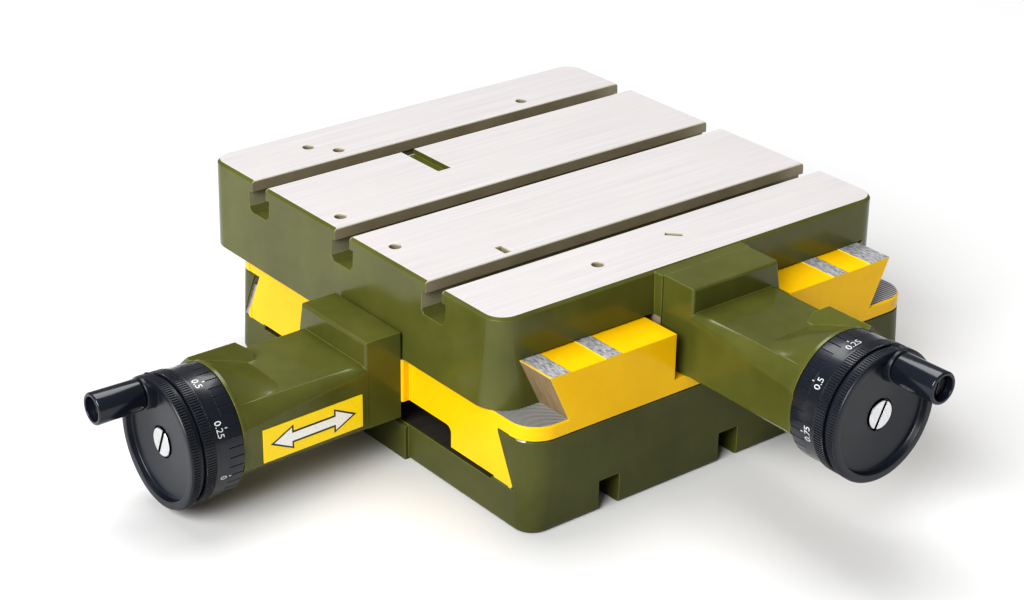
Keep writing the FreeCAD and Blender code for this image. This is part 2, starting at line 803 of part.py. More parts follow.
def housing_section(out, reach, shoulder, crown, bulge, bevel):
    """The housing's section: flat foot and sides, and upper corners that bulge out between them."""
    foot = housing_bottom

    def at(across, up):
        return Vector(across, -out, up)

    corner_far = Part.Arc(at(reach, shoulder), at(bulge[0], bulge[1]), at(crown, housing_top)).toShape()
    corner_near = Part.Arc(at(-crown, housing_top), at(-bulge[0], bulge[1]), at(-reach, shoulder)).toShape()
    return Part.Wire([
        Part.makeLine(at(-reach + bevel, foot), at(reach - bevel, foot)),
        Part.makeLine(at(reach - bevel, foot), at(reach, foot + bevel)),
        Part.makeLine(at(reach, foot + bevel), at(reach, shoulder)),
        corner_far,
        Part.makeLine(at(crown, housing_top), at(-crown, housing_top)),
        corner_near,
        Part.makeLine(at(-reach, shoulder), at(-reach, foot + bevel)),
        Part.makeLine(at(-reach, foot + bevel), at(-reach + bevel, foot))])


def on_collar(across):
    return math.sqrt(collar_radius ** 2 - across ** 2)


def bracket_casting():
    flange = prism_along_y(flange_outline(0.0), 0, -flange_thickness)
    outer_rim = edges_of(flange, lambda b: at_same(b.YMin, -flange_thickness) and at_same(b.YLength, 0))
    flange = flange.makeFillet(flange_edge, outer_rim)
    root = housing_corner_root
    soft = root * (1 - math.sqrt(0.5))
    crown_end = math.sqrt(collar_radius ** 2 - housing_top ** 2)
    shoulder_angle = math.atan2(on_collar(housing_half_end), housing_half_end)
    bulge_angle = (shoulder_angle + math.atan2(housing_top, crown_end)) / 2
    bulge = (collar_radius * math.cos(bulge_angle), collar_radius * math.sin(bulge_angle))
    start = housing_section(flange_thickness - past, housing_half_root, housing_top - root,
                            housing_half_root - root, (housing_half_root - soft, housing_top - soft),
                            housing_foot_chamfer_root)
    end = housing_section(housing_end, housing_half_end, on_collar(housing_half_end), crown_end, bulge,
                          housing_foot_chamfer_end)
    housing = Part.makeLoft([start, end], True, True)
    casting = flange.fuse(housing).fuse(collar_ramp(crown_end)).fuse(collar_rim()).fuse(index_boss())
    open_end = housing_end + past
    casting = casting.cut(along_spindle(journal_radius + bore_allowance, -past, open_end))
    casting = casting.cut(along_spindle(bush_outer_radius, -past, inner_bush_end))
    casting = casting.cut(along_spindle(bush_outer_radius, housing_end - outer_bush_length, open_end))
    for across in (-bracket_screw_side, bracket_screw_side):
        casting = casting.cut(along_spindle(bracket_screw_radius + bracket_screw_pocket_gap, -past,
                                            housing_end, across, bracket_screw_up))
        casting = casting.cut(along_spindle(bracket_screw_head_radius + bracket_screw_pocket_gap,
                                            bracket_screw_seat, open_end, across, bracket_screw_up))
    return casting


def collar_ramp(crown):
    """The slope that lifts the housing's flat top to the round collar behind the dial."""
    base = housing_top - ramp_depth
    low = housing_top - ramp_sink
    rear = housing_end - rim_thickness
    inside = housing_half_root - housing_corner_root
    ramp_start = housing_end - ramp_length

    def at(across, out, up):
        return Vector(across, -out, up)

    corners = [at(-inside, ramp_start, base), at(inside, ramp_start, base),
               at(inside, ramp_start, low), at(-inside, ramp_start, low)]
    start = Part.makePolygon(corners + [corners[0]])
    arch = Part.Arc(at(crown, rear, housing_top), at(0, rear, collar_radius), at(-crown, rear, housing_top))
    end = Part.Wire([
        Part.makeLine(at(-crown, rear, base), at(crown, rear, base)),
        Part.makeLine(at(crown, rear, base), at(crown, rear, housing_top)),
        arch.toShape(),
        Part.makeLine(at(-crown, rear, housing_top), at(-crown, rear, base))])
    return Part.makeLoft([start, end], True, True)


def collar_rim():
    """The thin rim at the end of the housing, just proud of it."""
    radius = collar_radius + rim_proud
    reach = housing_half_end + rim_proud
    foot = housing_bottom
    shoulder = math.sqrt(radius ** 2 - reach ** 2)
    start = housing_end - rim_thickness

    def at(across, up):
        return Vector(across, -start, up)

    bevel = housing_foot_chamfer_end
    wire = Part.Wire([
        Part.makeLine(at(-reach + bevel, foot), at(reach - bevel, foot)),
        Part.makeLine(at(reach - bevel, foot), at(reach, foot + bevel)),
        Part.makeLine(at(reach, foot + bevel), at(reach, shoulder)),
        Part.Arc(at(reach, shoulder), at(0, radius), at(-reach, shoulder)).toShape(),
        Part.makeLine(at(-reach, shoulder), at(-reach, foot + bevel)),
        Part.makeLine(at(-reach, foot + bevel), at(-reach + bevel, foot))])
    return Part.Face(wire).extrude(Vector(0, -rim_thickness, 0))


def index_boss():
    """The raised boss at the far upper corner that carries the dial's zero line."""
    inner = housing_top - index_sink
    low = housing_top + index_ramp_rise
    index_start = housing_end - index_length
    index_height = collar_radius + index_proud
    profile = [(index_start, inner), (index_start, low), (index_start + index_ramp, index_height),
               (housing_end, index_height), (housing_end, inner)]
    points = [Vector(-index_half_width, -out, up) for out, up in profile]
    boss = outline(points).extrude(Vector(2 * index_half_width, 0, 0))
    boss.rotate(Vector(), Vector(0, 1, 0), index_angle)
    return boss


def bracket_screws():
    length = bracket_screw_seat + bracket_screw_bite
    screw = cap_screw(bracket_screw_radius, length, bracket_screw_head_radius, bracket_screw_head_height,
                      cap_socket_flats, cap_socket_depth)
    screw = turn_to(screw, Vector(0, -1, 0))
    return Part.makeCompound([moved(screw, across, -bracket_screw_seat, bracket_screw_up)
                              for across in (-bracket_screw_side, bracket_screw_side)])


def side_at(out):
    """How far the housing's near side stands from the spindle."""
    root = flange_thickness - past
    share = (out - root) / (housing_end - root)
    return housing_half_root + (housing_half_end - housing_half_root) * share


def label_plate():
    plan = [(-side_at(label_start), -label_start), (-side_at(label_end), -label_end),
            (-side_at(label_end) - label_thickness, -label_end),
            (-side_at(label_start) - label_thickness, -label_start)]
    return prism_up(plan, label_bottom, label_top)


def leadscrew(reach):
    thread = along_spindle(thread_radius, -reach, inner_bush_start - end_float)
    tail = edges_of(thread, lambda b: at_same(b.YMin, reach) and at_same(b.YMax, reach))
    thread = thread.makeChamfer(screw_end_chamfer, tail)
    screw = thread.fuse(along_spindle(journal_radius, 0, journal_end)).removeSplitter()
    screw = screw.cut(along_spindle(wheel_screw_radius + seat_gap,
                                    head_seat - wheel_screw_length - drill_tip, journal_end + past))
    return screw.cut(hub_pin_hole())


def hub_pin_hole():
    return rod(hub_pin_radius + seat_gap, (0, -hub_pin_place, -hub_radius - past),
               (0, -hub_pin_place, hub_radius + past))


def hub_pin():
    length = hub_radius - hub_pin_inset
    return rod(hub_pin_radius, (0, -hub_pin_place, -length), (0, -hub_pin_place, length))


def grip_place(lean):
    angle = math.radians(lean)
    return grip_offset * math.sin(angle), grip_offset * math.cos(angle)


def handwheel(lean):
    rim_inner = wheel_radius - wheel_rim
    pocket = wheel_screw_head_radius + head_pocket_gap
    screw_hole = wheel_screw_radius + wheel_screw_gap
    profile = [(hub_start, journal_radius + seat_gap), (hub_start, hub_radius), (wheel_back, hub_radius),
               (wheel_back, wheel_radius - wheel_back_edge), (wheel_back + wheel_back_edge, wheel_radius),
               (wheel_face - wheel_edge, wheel_radius), (wheel_face, wheel_radius - wheel_edge),
               (wheel_face, rim_inner + wheel_rim_edge), (wheel_face - wheel_rim_edge, rim_inner),
               (wheel_dish, rim_inner), (wheel_dish, pocket), (head_seat, pocket), (head_seat, screw_hole),
               (journal_end, screw_hole), (journal_end, journal_radius + seat_gap)]
    wheel = turned(profile)
    across, up = grip_place(lean)
    boss = along_spindle(grip_boss_radius, wheel_dish - past, boss_end, across, up)
    boss = boss.makeFillet(grip_root_edge, edges_of(boss, lambda b: at_same(b.YMax, -boss_end)))
    wheel = wheel.fuse(boss).removeSplitter()
    wheel = wheel.cut(along_spindle(grip_thread_radius + seat_gap,
                                    boss_end - grip_thread_length - grip_thread_room,
                                    boss_end + past, across, up))
    return wheel.cut(hub_pin_hole())


def slotted_head(radius, height, start, slot, slot_depth, lean, across=0.0, up=0.0):
    end = start + height
    head = along_spindle(radius, start, end, across, up)
    head = head.makeChamfer(slotted_head_edge, edges_of(head, lambda b: at_same(b.YMax, -end)))
    cutter = box(-slot / 2, slot / 2, -end - past, -end + slot_depth, -radius - past, radius + past)
    cutter.rotate(Vector(), Vector(0, 1, 0), lean)
    return head.cut(moved(cutter, across, 0, up))


def wheel_screw(lean):
    head = slotted_head(wheel_screw_head_radius, wheel_screw_head_height, head_seat,
                        wheel_screw_slot, wheel_screw_slot_depth, lean)
    shank = along_spindle(wheel_screw_radius, head_seat - wheel_screw_length, head_seat)
    return head.fuse(shank).removeSplitter()


def dial():
    inner = dial_radius - dial_wall
    sleeve = hub_radius + running_gap
    knurl_start = dial_end - dial_knurl_width
    web_start = dial_end - dial_web
    sleeve_start = dial_start + dial_sleeve_inset
    profile = [(dial_start, inner), (dial_start, dial_radius - dial_edge),
               (dial_start + dial_edge, dial_radius),
               (knurl_start, dial_radius), (knurl_start, dial_knurl_radius - dial_edge),
               (knurl_start + dial_edge, dial_knurl_radius), (dial_end - dial_edge, dial_knurl_radius),
               (dial_end, dial_knurl_radius - dial_edge), (dial_end, sleeve),
               (sleeve_start, sleeve), (sleeve_start, sleeve + dial_sleeve_wall),
               (web_start, sleeve + dial_sleeve_wall), (web_start, inner)]
    return turned(profile)


def dial_spring():
    return bush(dial_end, wheel_back, spring_inner_radius, spring_outer_radius)


def grip(lean):
    across, up = grip_place(lean)
    start = boss_end + grip_gap
    hollow = grip_end - grip_hollow_depth
    profile = [(start, grip_pin_radius + running_gap), (start, grip_radius - grip_root_edge),
               (start + grip_root_edge, grip_radius), (grip_end - grip_edge, grip_radius),
               (grip_end, grip_radius - grip_edge / 2), (grip_end, grip_hollow_radius),
               (hollow, grip_hollow_radius), (hollow, grip_pin_radius + running_gap)]
    return moved(turned(profile), across, 0, up)


def grip_screw(lean):
    across, up = grip_place(lean)
    hollow = grip_end - grip_hollow_depth + grip_gap
    screw = along_spindle(grip_thread_radius, boss_end - grip_thread_length, boss_end, across, up)
    screw = screw.fuse(along_spindle(grip_pin_radius, boss_end, hollow, across, up))
    head = slotted_head(grip_head_radius, grip_head_height, hollow, grip_head_slot, grip_head_slot_depth,
                        lean, across, up)
    return screw.fuse(head).removeSplitter()


def drive_pieces(axis, reach, grip_lean, slot_lean):
    """Every piece of one drive about its own spindle, by name."""
    outer_start = housing_end - outer_bush_length
    washer_end = housing_end + thrust_washer_thickness
    bore = journal_radius + running_gap
    seated = bush_outer_radius - seat_gap
    return {
        axis + "_bracket": bracket_casting(),
        axis + "_bracket_screws": bracket_screws(),
        axis + "_inner_bush": bush(inner_bush_start, inner_bush_end, bore, seated),
        axis + "_outer_bush": bush(outer_start, housing_end, bore, seated),
        axis + "_thrust_washer": bush(housing_end, washer_end, bore, thrust_washer_radius),
        axis + "_leadscrew": leadscrew(reach),
        axis + "_handwheel": handwheel(grip_lean),
        axis + "_hub_pin": hub_pin(),
        axis + "_wheel_screw": wheel_screw(slot_lean),
        axis + "_dial_spring": dial_spring(),
        axis + "_dial": dial(),
        axis + "_grip": grip(grip_lean),
        axis + "_grip_screw": grip_screw(grip_lean),
    }


def all_pieces():
    lower_screws, lower_nuts = lower_gib_fasteners()
    upper_screws, upper_nuts = upper_gib_fasteners()
    pieces = {
        "base_casting": base_casting(),
        "lower_gib": lower_gib(),
        "lower_gib_screws": lower_screws,
        "lower_gib_locknuts": lower_nuts,
        "x_leadscrew_nut": x_leadscrew_nut(),
        "x_nut_screws": nut_screws(x_nut_screw_places(), x_nut_top, floor_bottom, x_nut_screw_bite),
        "saddle_casting": saddle_casting(),
        "y_leadscrew_nut": y_leadscrew_nut(),
        "y_nut_screws": nut_screws(y_nut_screw_places(), y_nut_top, plate_top, y_nut_screw_bite),
        "table_casting": table_casting(),
        "upper_gib": upper_gib(),
        "upper_gib_screws": upper_screws,
        "upper_gib_locknuts": upper_nuts,
        "label_plate": to_x_drive(label_plate()),
    }
    for name, piece in drive_pieces("x", x_screw_reach, x_grip_lean, x_slot_lean).items():
        pieces[name] = to_x_drive(piece)
    for name, piece in drive_pieces("y", y_screw_reach, y_grip_lean, y_slot_lean).items():
        pieces[name] = to_y_drive(piece)
    return pieces


os.makedirs("parts", exist_ok=True)
for node, shape in all_pieces().items():
    print(node, "solids", len(shape.Solids), "valid", shape.isValid(), "volume", round(shape.Volume, 1))
    shape.exportStep("parts/" + node + ".step")
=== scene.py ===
import bmesh
import bpy
import json
import math
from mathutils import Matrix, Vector


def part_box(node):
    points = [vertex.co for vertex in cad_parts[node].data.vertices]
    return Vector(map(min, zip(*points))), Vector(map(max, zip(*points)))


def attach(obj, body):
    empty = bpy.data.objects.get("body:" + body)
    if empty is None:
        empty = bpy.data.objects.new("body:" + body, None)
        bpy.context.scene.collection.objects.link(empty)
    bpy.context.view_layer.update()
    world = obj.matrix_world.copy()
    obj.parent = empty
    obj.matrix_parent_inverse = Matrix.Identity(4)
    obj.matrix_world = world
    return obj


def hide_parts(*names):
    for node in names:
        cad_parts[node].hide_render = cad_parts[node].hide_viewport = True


# A cross slide table: base, saddle and slotted table in painted iron, moved by two graduated
# handwheels. The castings come from the frame and get their paint and machining here, and the
# handwheels, dials, grips and leadscrews are built here in finer detail.

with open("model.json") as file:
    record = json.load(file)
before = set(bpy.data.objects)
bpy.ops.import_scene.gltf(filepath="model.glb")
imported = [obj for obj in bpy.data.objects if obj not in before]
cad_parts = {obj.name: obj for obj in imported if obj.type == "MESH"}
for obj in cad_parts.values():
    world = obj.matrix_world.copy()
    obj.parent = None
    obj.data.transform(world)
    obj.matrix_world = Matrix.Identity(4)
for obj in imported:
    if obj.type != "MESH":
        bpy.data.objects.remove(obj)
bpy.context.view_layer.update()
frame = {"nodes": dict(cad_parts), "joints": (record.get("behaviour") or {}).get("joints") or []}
mm = 0.001

# Places and sizes of the castings, in metres. A bound set to beyond lies past every side of the part.

beyond = 1.0
table_low, table_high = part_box("table_casting")
table_top = table_high.z
slot_rows = (-43 * mm, 17 * mm, 77 * mm)
slot_neck_half = 5 * mm
slot_wide_half = 7.5 * mm
slot_ledge = table_top - 5 * mm
slot_floor = slot_ledge - 8.8 * mm
slot_wall_foot = slot_floor + 1.9 * mm
slot_mouth = table_top - 0.7 * mm
groove_near = (-33.2 * mm, 45 * mm, 0)
groove_far = (-26 * mm, 71.9 * mm, table_top - 0.2 * mm)
table_way_near = -96.5 * mm
table_way_far = 97 * mm

saddle_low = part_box("saddle_casting")[0]
way_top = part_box("saddle_casting")[1].z
plate_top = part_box("y_leadscrew_nut")[0].z
lower_way_top = 37 * mm
channel_near = -30 * mm
channel_far = 29 * mm
lands_near = -90.2 * mm

base_low, base_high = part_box("base_casting")
base_rim_half = 97 * mm
base_rim_far = 98 * mm
base_way_half = 94.8 * mm
base_way_end = 99.3 * mm
base_way_foot = 15.2 * mm
relief_half = 78.5 * mm
relief_floor = 15 * mm
relief_top = 16.4 * mm
seat_half = 40 * mm

# Sizes of the drives. Lengths along a spindle run outwards from the bracket's back face.

rib_count = 150
division_count = 40
dial_radius = 25.3 * mm
dial_knurl_radius = 25.9 * mm
wheel_radius = 26.0 * mm
rib_depth = 0.45 * mm
division_width = 0.42 * mm
division_depth = 0.35 * mm
number_height = 2.8 * mm
number_proud = 0.05 * mm
number_place = 81.2 * mm
tick_place = 78.5 * mm
tick_length = 1.0 * mm
tick_width = 0.4 * mm
grip_radius = 6.3 * mm
grip_offset = 19.5 * mm
grip_start = 96.7 * mm
grip_end = 116.2 * mm
grip_seat = grip_end - 5.6 * mm
thread_pitch = 2 * mm
thread_radius = 5 * mm
thread_depth = 1.1 * mm

# The mark on the label plate

label_thickness = 0.5 * mm
arrow_half_length = 18.0 * mm
arrow_head_length = 8.0 * mm
arrow_head_half = 4.0 * mm
arrow_shaft_half = 1.7 * mm
arrow_outline = 0.8 * mm
ink_proud = 0.04 * mm


# Drives

class Drive:
    """One spindle with what turns on it. Angles run counter-clockwise as the operator sees the wheel."""

    def __init__(self, name, out, right, first_number, grip_angle):
        self.name = name
        self.out = Vector(out)
        self.right = Vector(right)
        self.up = Vector((0, 0, 1))
        self.first_number = first_number
        self.grip_angle = grip_angle
        flange_low, flange_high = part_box(name + "_bracket")
        turn = next(joint for joint in frame["joints"] if joint["name"] == name + "_handwheel_turn")
        centre = Vector(turn["pos_m"])
        back = flange_high if self.out.dot(flange_high - flange_low) < 0 else flange_low
        along = self.out.dot(back - centre)
        self.origin = centre + self.out * along

    def point(self, angle, radius, out, centre=(0.0, 0.0)):
        """A point by its angle and radius about a centre, which is the spindle unless it is given."""
        across = centre[0] + radius * math.cos(angle)
        rise = centre[1] + radius * math.sin(angle)
        return self.origin + self.out * out + self.right * across + self.up * rise


drives = [
    Drive("x", (-1, 0, 0), (0, -1, 0), first_number=-18.5, grip_angle=113.0),
    Drive("y", (0, -1, 0), (1, 0, 0), first_number=55.5, grip_angle=77.0),
]


# Meshes

def softened(outline, steps=4):
    """Rounds the corners of an outline of (out, radius, corner radius) points."""
    points = []
    for i, (out, radius, corner) in enumerate(outline):
        here = Vector((out, radius))
        before = Vector(outline[i - 1][:2]) - here
        after = Vector(outline[(i + 1) % len(outline)][:2]) - here
        if not corner:
            points.append(here)
            continue
        half = before.angle(after) / 2
        reach = min(corner / math.tan(half), before.length * 0.49, after.length * 0.49)
        middle = (before.normalized() + after.normalized()).normalized()
        centre = here + middle * reach / math.cos(half)
        start = here + before.normalized() * reach - centre
        end = here + after.normalized() * reach - centre
        sweep = start.angle(end)
        for step in range(steps + 1):
            share = step / steps
            points.append(centre + (start * math.sin((1 - share) * sweep) + end * math.sin(share * sweep))
                          / math.sin(sweep))
    return points


def even_angles(count):
    return [math.tau * i / count for i in range(count)]


def turned(drive, outline, angles, limit=None, centre=(0.0, 0.0)):
    """A closed ring turned through the angles; limit(column) holds the radius down, as for a groove."""
    vertices = []
    for column, angle in enumerate(angles):
        ceiling = limit(column) if limit else None
        for out, radius in outline:
            held = min(radius, ceiling) if ceiling else radius
            vertices.append(drive.point(angle, held, out, centre))
    rows = len(outline)
    faces = []
    for column in range(len(angles)):
        after = (column + 1) % len(angles)
        for row in range(rows):
            below = (row + 1) % rows
            faces.append((column * rows + row, column * rows + below,
                          after * rows + below, after * rows + row))
    return vertices, faces


def piece(name, shells, body, material, crease=30.0):
    """One mesh object of several closed shells, which rides on a body."""
    mesh = bpy.data.meshes.new(name)
    vertices = []
    faces = []
    for shell_vertices, shell_faces in shells:
        start = len(vertices)
        vertices.extend(shell_vertices)
        faces.extend(tuple(start + i for i in face) for face in shell_faces)
    mesh.from_pydata([tuple(v) for v in vertices], [], faces)
    work = bmesh.new()
    work.from_mesh(mesh)
    bmesh.ops.recalc_face_normals(work, faces=work.faces)
    work.to_mesh(mesh)
    work.free()
    mesh.polygons.foreach_set("use_smooth", [True] * len(mesh.polygons))
    mesh.set_sharp_from_angle(angle=math.radians(crease))
    thing = bpy.data.objects.new(name, mesh)
    bpy.context.scene.collection.objects.link(thing)
    mesh.materials.append(material)
    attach(thing, body)
    return thing


def ribbed_ring(drive, start, end, inner, crest, edge=0.25 * mm):
    """A band of straight ribs between start and end."""
    root = crest - rib_depth
    outline = [Vector(p) for p in ((start, inner), (start, root), (start + edge, crest), (end - edge, crest),
                                   (end, root), (end, inner))]
    phases = (0.0, 0.36, 0.52, 0.84)
    angles = [math.tau * (rib + phase) / rib_count for rib in range(rib_count) for phase in phases]
    return turned(drive, outline, angles, lambda column: root if column % len(phases) >= 2 else None)


def divided_ring(drive, start, end, inner, radius):
    """The dial's band of engraved division lines."""
    outline = softened([(start, inner, 0), (start, radius, 0.3 * mm), (end, radius, 0), (end, inner, 0)])
    half = division_width / radius / 2
    spread = math.tau / division_count
    land = spread - 2 * half
    offsets = (-half, -half * 0.6, half * 0.6, half, half + land / 3, half + land * 2 / 3)
    first = math.radians(drive.first_number)
    angles = [first + spread * line + offset for line in range(division_count) for offset in offsets]
    floor = radius - division_depth
    return turned(drive, outline, angles, lambda column: floor if column % len(offsets) in (1, 2) else None)


def wrapped_text(drive, words, angle, out, height, radius):
    """Raised figures laid round the dial, their tops towards the bracket."""
    curve = bpy.data.curves.new("figures", "FONT")
    curve.body = words
    curve.size = height * 1.4
    curve.align_x = "CENTER"
    curve.align_y = "CENTER"
    curve.extrude = number_proud
    curve.offset = 0.02 * mm
    curve.resolution_u = 3
    holder = bpy.data.objects.new("figures", curve)
    mesh = bpy.data.meshes.new_from_object(holder)
    work = bmesh.new()
    work.from_mesh(mesh)
    width = max(abs(v.co.x) for v in work.verts)
    cuts = 12
    for i in range(1, cuts):
        place = Vector((-width + 2 * width * i / cuts, 0, 0))
        bmesh.ops.bisect_plane(work, geom=work.verts[:] + work.edges[:] + work.faces[:], plane_co=place,
                               plane_no=Vector((1, 0, 0)))
    work.verts.index_update()
    heights = [v.co.y for v in work.verts]
    middle = (min(heights) + max(heights)) / 2
    vertices = [drive.point(angle - v.co.x / radius, radius + v.co.z, out + middle - v.co.y)
                for v in work.verts]
    faces = [tuple(v.index for v in face.verts) for face in work.faces]
    work.free()
    bpy.data.objects.remove(holder)
    bpy.data.curves.remove(curve)
    bpy.data.meshes.remove(mesh)
    return vertices, faces


def bar_on_dial(drive, angle, out, length, width, radius):
    """A short raised stroke along the dial."""
    half = width / radius / 2
    corners = [(angle - half, out - length / 2), (angle + half, out - length / 2),
               (angle + half, out + length / 2), (angle - half, out + length / 2)]
    levels = (radius - number_proud, radius + number_proud)
    vertices = [drive.point(a, level, o) for level in levels for a, o in corners]
    faces = [(0, 1, 2, 3), (4, 5, 6, 7)] + [(i, (i + 1) % 4, (i + 1) % 4 + 4, i + 4) for i in range(4)]
    return vertices, faces


# Shading

class Recipe:
    """A node tree under construction. Each call adds one node, joins its inputs and gives an output."""

    def __init__(self, tree):
        self.tree = tree

    def add(self, kind, inputs=(), output=0, **settings):
        node = self.tree.nodes.new("ShaderNode" + kind)
        node.location = (180 * len(self.tree.nodes), 0)
        for name, value in settings.items():
            setattr(node, name, value)
        pairs = inputs.items() if isinstance(inputs, dict) else enumerate(inputs)
        for key, value in pairs:
            if isinstance(value, bpy.types.NodeSocket):
                self.tree.links.new(value, node.inputs[key])
            else:
                node.inputs[key].default_value = value
        return node.outputs[output]

    def sum(self, a, b):
        return self.add("Math", (a, b), operation="ADD")

    def less(self, a, b):
        return self.add("Math", (a, b), operation="SUBTRACT")

    def times(self, a, b):
        return self.add("Math", (a, b), operation="MULTIPLY")

    def least(self, a, b):
        return self.add("Math", (a, b), operation="MINIMUM")

    def most(self, a, b):
        return self.add("Math", (a, b), operation="MAXIMUM")

    def inverse(self, a):
        return self.less(1.0, a)

    def unsigned(self, a):
        return self.add("Math", (a,), operation="ABSOLUTE")

    def span(self, value, low, high, to_low=0.0, to_high=1.0):
        """Maps a value from one range to another and holds it there."""
        return self.add("MapRange", (value, low, high, to_low, to_high))

    def colour(self, share, a, b):
        return self.add("Mix", {0: share, 6: a, 7: b}, output=2, data_type="RGBA")

    def value(self, share, a, b):
        return self.add("Mix", {0: share, 2: a, 3: b}, output=0, data_type="FLOAT")

    def place(self):
        return self.add("TexCoord", output="Object")

    def facing(self):
        """The surface's direction at rest, as three values."""
        return self.split(self.add("TexCoord", output="Normal"))

    def split(self, vector):
        node = self.add("SeparateXYZ", (vector,)).node
        return node.outputs[0], node.outputs[1], node.outputs[2]

    def stretched(self, vector, scale):
        return self.add("VectorMath", (vector, scale), operation="MULTIPLY")

    def noise(self, vector, scale, detail=3.0, roughness=0.5):
        return self.add("TexNoise", {"Vector": vector, "Scale": scale, "Detail": detail,
                                     "Roughness": roughness})

    def shared(self, group, output, **inputs):
        """Places a node group and gives one of its outputs."""
        node = self.tree.nodes.new("ShaderNodeGroup")
        node.node_tree = group
        node.location = (180 * len(self.tree.nodes), 0)
        for name, value in inputs.items():
            socket = node.inputs[name.replace("_", " ").capitalize()]
            if isinstance(value, bpy.types.NodeSocket):
                self.tree.links.new(value, socket)
            else:
                socket.default_value = value
        return node.outputs[output]


def new_group(name, inputs, outputs):
    """An empty node group with named sockets; gives its tree, recipe, input sockets and output node."""
    tree = bpy.data.node_groups.new(name, "ShaderNodeTree")
    for title, kind in inputs.items():
        tree.interface.new_socket(title, in_out="INPUT", socket_type="NodeSocket" + kind)
    for title, kind in outputs.items():
        tree.interface.new_socket(title, in_out="OUTPUT", socket_type="NodeSocket" + kind)
    entry = tree.nodes.new("NodeGroupInput")
    result = tree.nodes.new("NodeGroupOutput")
    return tree, Recipe(tree), entry.outputs, result


def make_zone_group():
    """Mask of a box in the rest frame, with a soft edge."""
    tree, recipe, given, result = new_group(
        "zone", {"Low": "Vector", "High": "Vector", "Softness": "Float"}, {"Mask": "Float"})
    at = recipe.place()
    above = recipe.add("VectorMath", (at, given["Low"]), operation="SUBTRACT")
    below = recipe.add("VectorMath", (given["High"], at), operation="SUBTRACT")
    inner = recipe.add("VectorMath", (above, below), operation="MINIMUM")
    x, y, z = recipe.split(inner)
    nearest = recipe.least(recipe.least(x, y), z)
    mask = recipe.add("MapRange", {0: nearest, 1: 0.0, 2: given["Softness"]})
    tree.links.new(mask, result.inputs["Mask"])
    return tree


def make_edge_group():
    """Edges of a piece: a mask along them, which lightens their colour partly as wear and partly as a painted
    highlight, and a normal that rounds them off.
    """
    tree, recipe, given, result = new_group(
        "edge wear and highlight", {"Width": "Float", "Unevenness": "Float"}, {"Mask": "Float", "Normal": "Vector"})
    rounded = recipe.add("Bevel", {"Radius": given["Width"]}, samples=6)
    flat = recipe.add("NewGeometry", output="Normal")
    agreement = recipe.add("VectorMath", (rounded, flat), operation="DOT_PRODUCT", output="Value")
    mottle = recipe.noise(recipe.place(), 260.0)
    threshold = recipe.times(recipe.less(mottle, 0.5), given["Unevenness"])
    mask = recipe.span(recipe.sum(recipe.inverse(agreement), threshold), 0.02, 0.22)
    tree.links.new(mask, result.inputs["Mask"])
    tree.links.new(rounded, result.inputs["Normal"])
    return tree


def make_grain_group():
    """The fine skin of paint or moulding: a height, and a slow mottle over the piece."""
    tree, recipe, given, result = new_group(
        "skin grain", {"Fineness": "Float"}, {"Height": "Float", "Mottle": "Float"})
    at = recipe.place()
    fine = recipe.noise(at, given["Fineness"], 2.0)
    slow = recipe.noise(at, 38.0, 4.0, 0.6)
    tree.links.new(fine, result.inputs["Height"])
    tree.links.new(slow, result.inputs["Mottle"])
    return tree


def make_marks_group():
    """Straight tool marks: noise drawn out along one direction."""
    tree, recipe, given, result = new_group(
        "tool marks", {"Stretch": "Vector"}, {"Height": "Float", "Streaks": "Float"})
    at = recipe.place()
    lines = recipe.noise(recipe.stretched(at, given["Stretch"]), 1.0, 4.0, 0.65)
    broad = recipe.noise(recipe.stretched(at, given["Stretch"]), 0.22, 2.0, 0.5)
    tree.links.new(lines, result.inputs["Height"])
    tree.links.new(broad, result.inputs["Streaks"])
    return tree


def make_sweep_group():
    """Arcs that a face cutter leaves as it moves along Y."""
    tree, recipe, given, result = new_group(
        "cutter sweeps", {"Middle": "Float", "Reach": "Float", "Pitch": "Float"}, {"Height": "Float"})
    x, y, z = recipe.split(recipe.place())
    across = recipe.less(x, given["Middle"])
    inside = recipe.less(recipe.times(given["Reach"], given["Reach"]), recipe.times(across, across))
    bow = recipe.add("Math", (recipe.most(inside, 0.0),), operation="SQRT")
    wander = recipe.times(recipe.noise(recipe.place(), 60.0), 2 * mm)
    travel = recipe.add("Math", (recipe.sum(recipe.sum(y, bow), wander), given["Pitch"]), operation="DIVIDE")
    wave = recipe.add("Math", (recipe.times(travel, math.tau),), operation="SINE")
    tree.links.new(recipe.span(wave, -1.0, 1.0), result.inputs["Height"])
    return tree


zone = make_zone_group()
edge_wear_and_highlight = make_edge_group()
skin_grain = make_grain_group()
tool_marks = make_marks_group()
cutter_sweeps = make_sweep_group()


def new_material(name):
    material = bpy.data.materials.new(name)
    material.use_nodes = True
    shader = material.node_tree.nodes["Principled BSDF"]
    return material, Recipe(material.node_tree), shader


def connect(recipe, shader, **sockets):
    for name, value in sockets.items():
        recipe.tree.links.new(value, shader.inputs[name.replace("_", " ").title()])


def in_box(recipe, low, high, softness=0.05 * mm):
    return recipe.shared(zone, "Mask", Low=low, High=high, Softness=softness)


olive_light = (0.100, 0.105, 0.022, 1)
olive_deep = (0.072, 0.077, 0.014, 1)
# Lighter edge colours: partly wear, partly a painted highlight along the edges.
olive_edge_wear_and_highlight = (0.25, 0.27, 0.05, 1)
# Darker copies of the green, painted on the base casting as the shade that falls low on the machine.
olive_shaded_light = (0.078, 0.083, 0.018, 1)
olive_shaded_deep = (0.052, 0.055, 0.011, 1)
yellow_light = (0.88, 0.525, 0.003, 1)
yellow_deep = (0.80, 0.46, 0.003, 1)
yellow_edge_wear_and_highlight = (0.95, 0.66, 0.02, 1)
iron_light = (0.63, 0.605, 0.60, 1)
iron_grey = (0.50, 0.50, 0.49, 1)
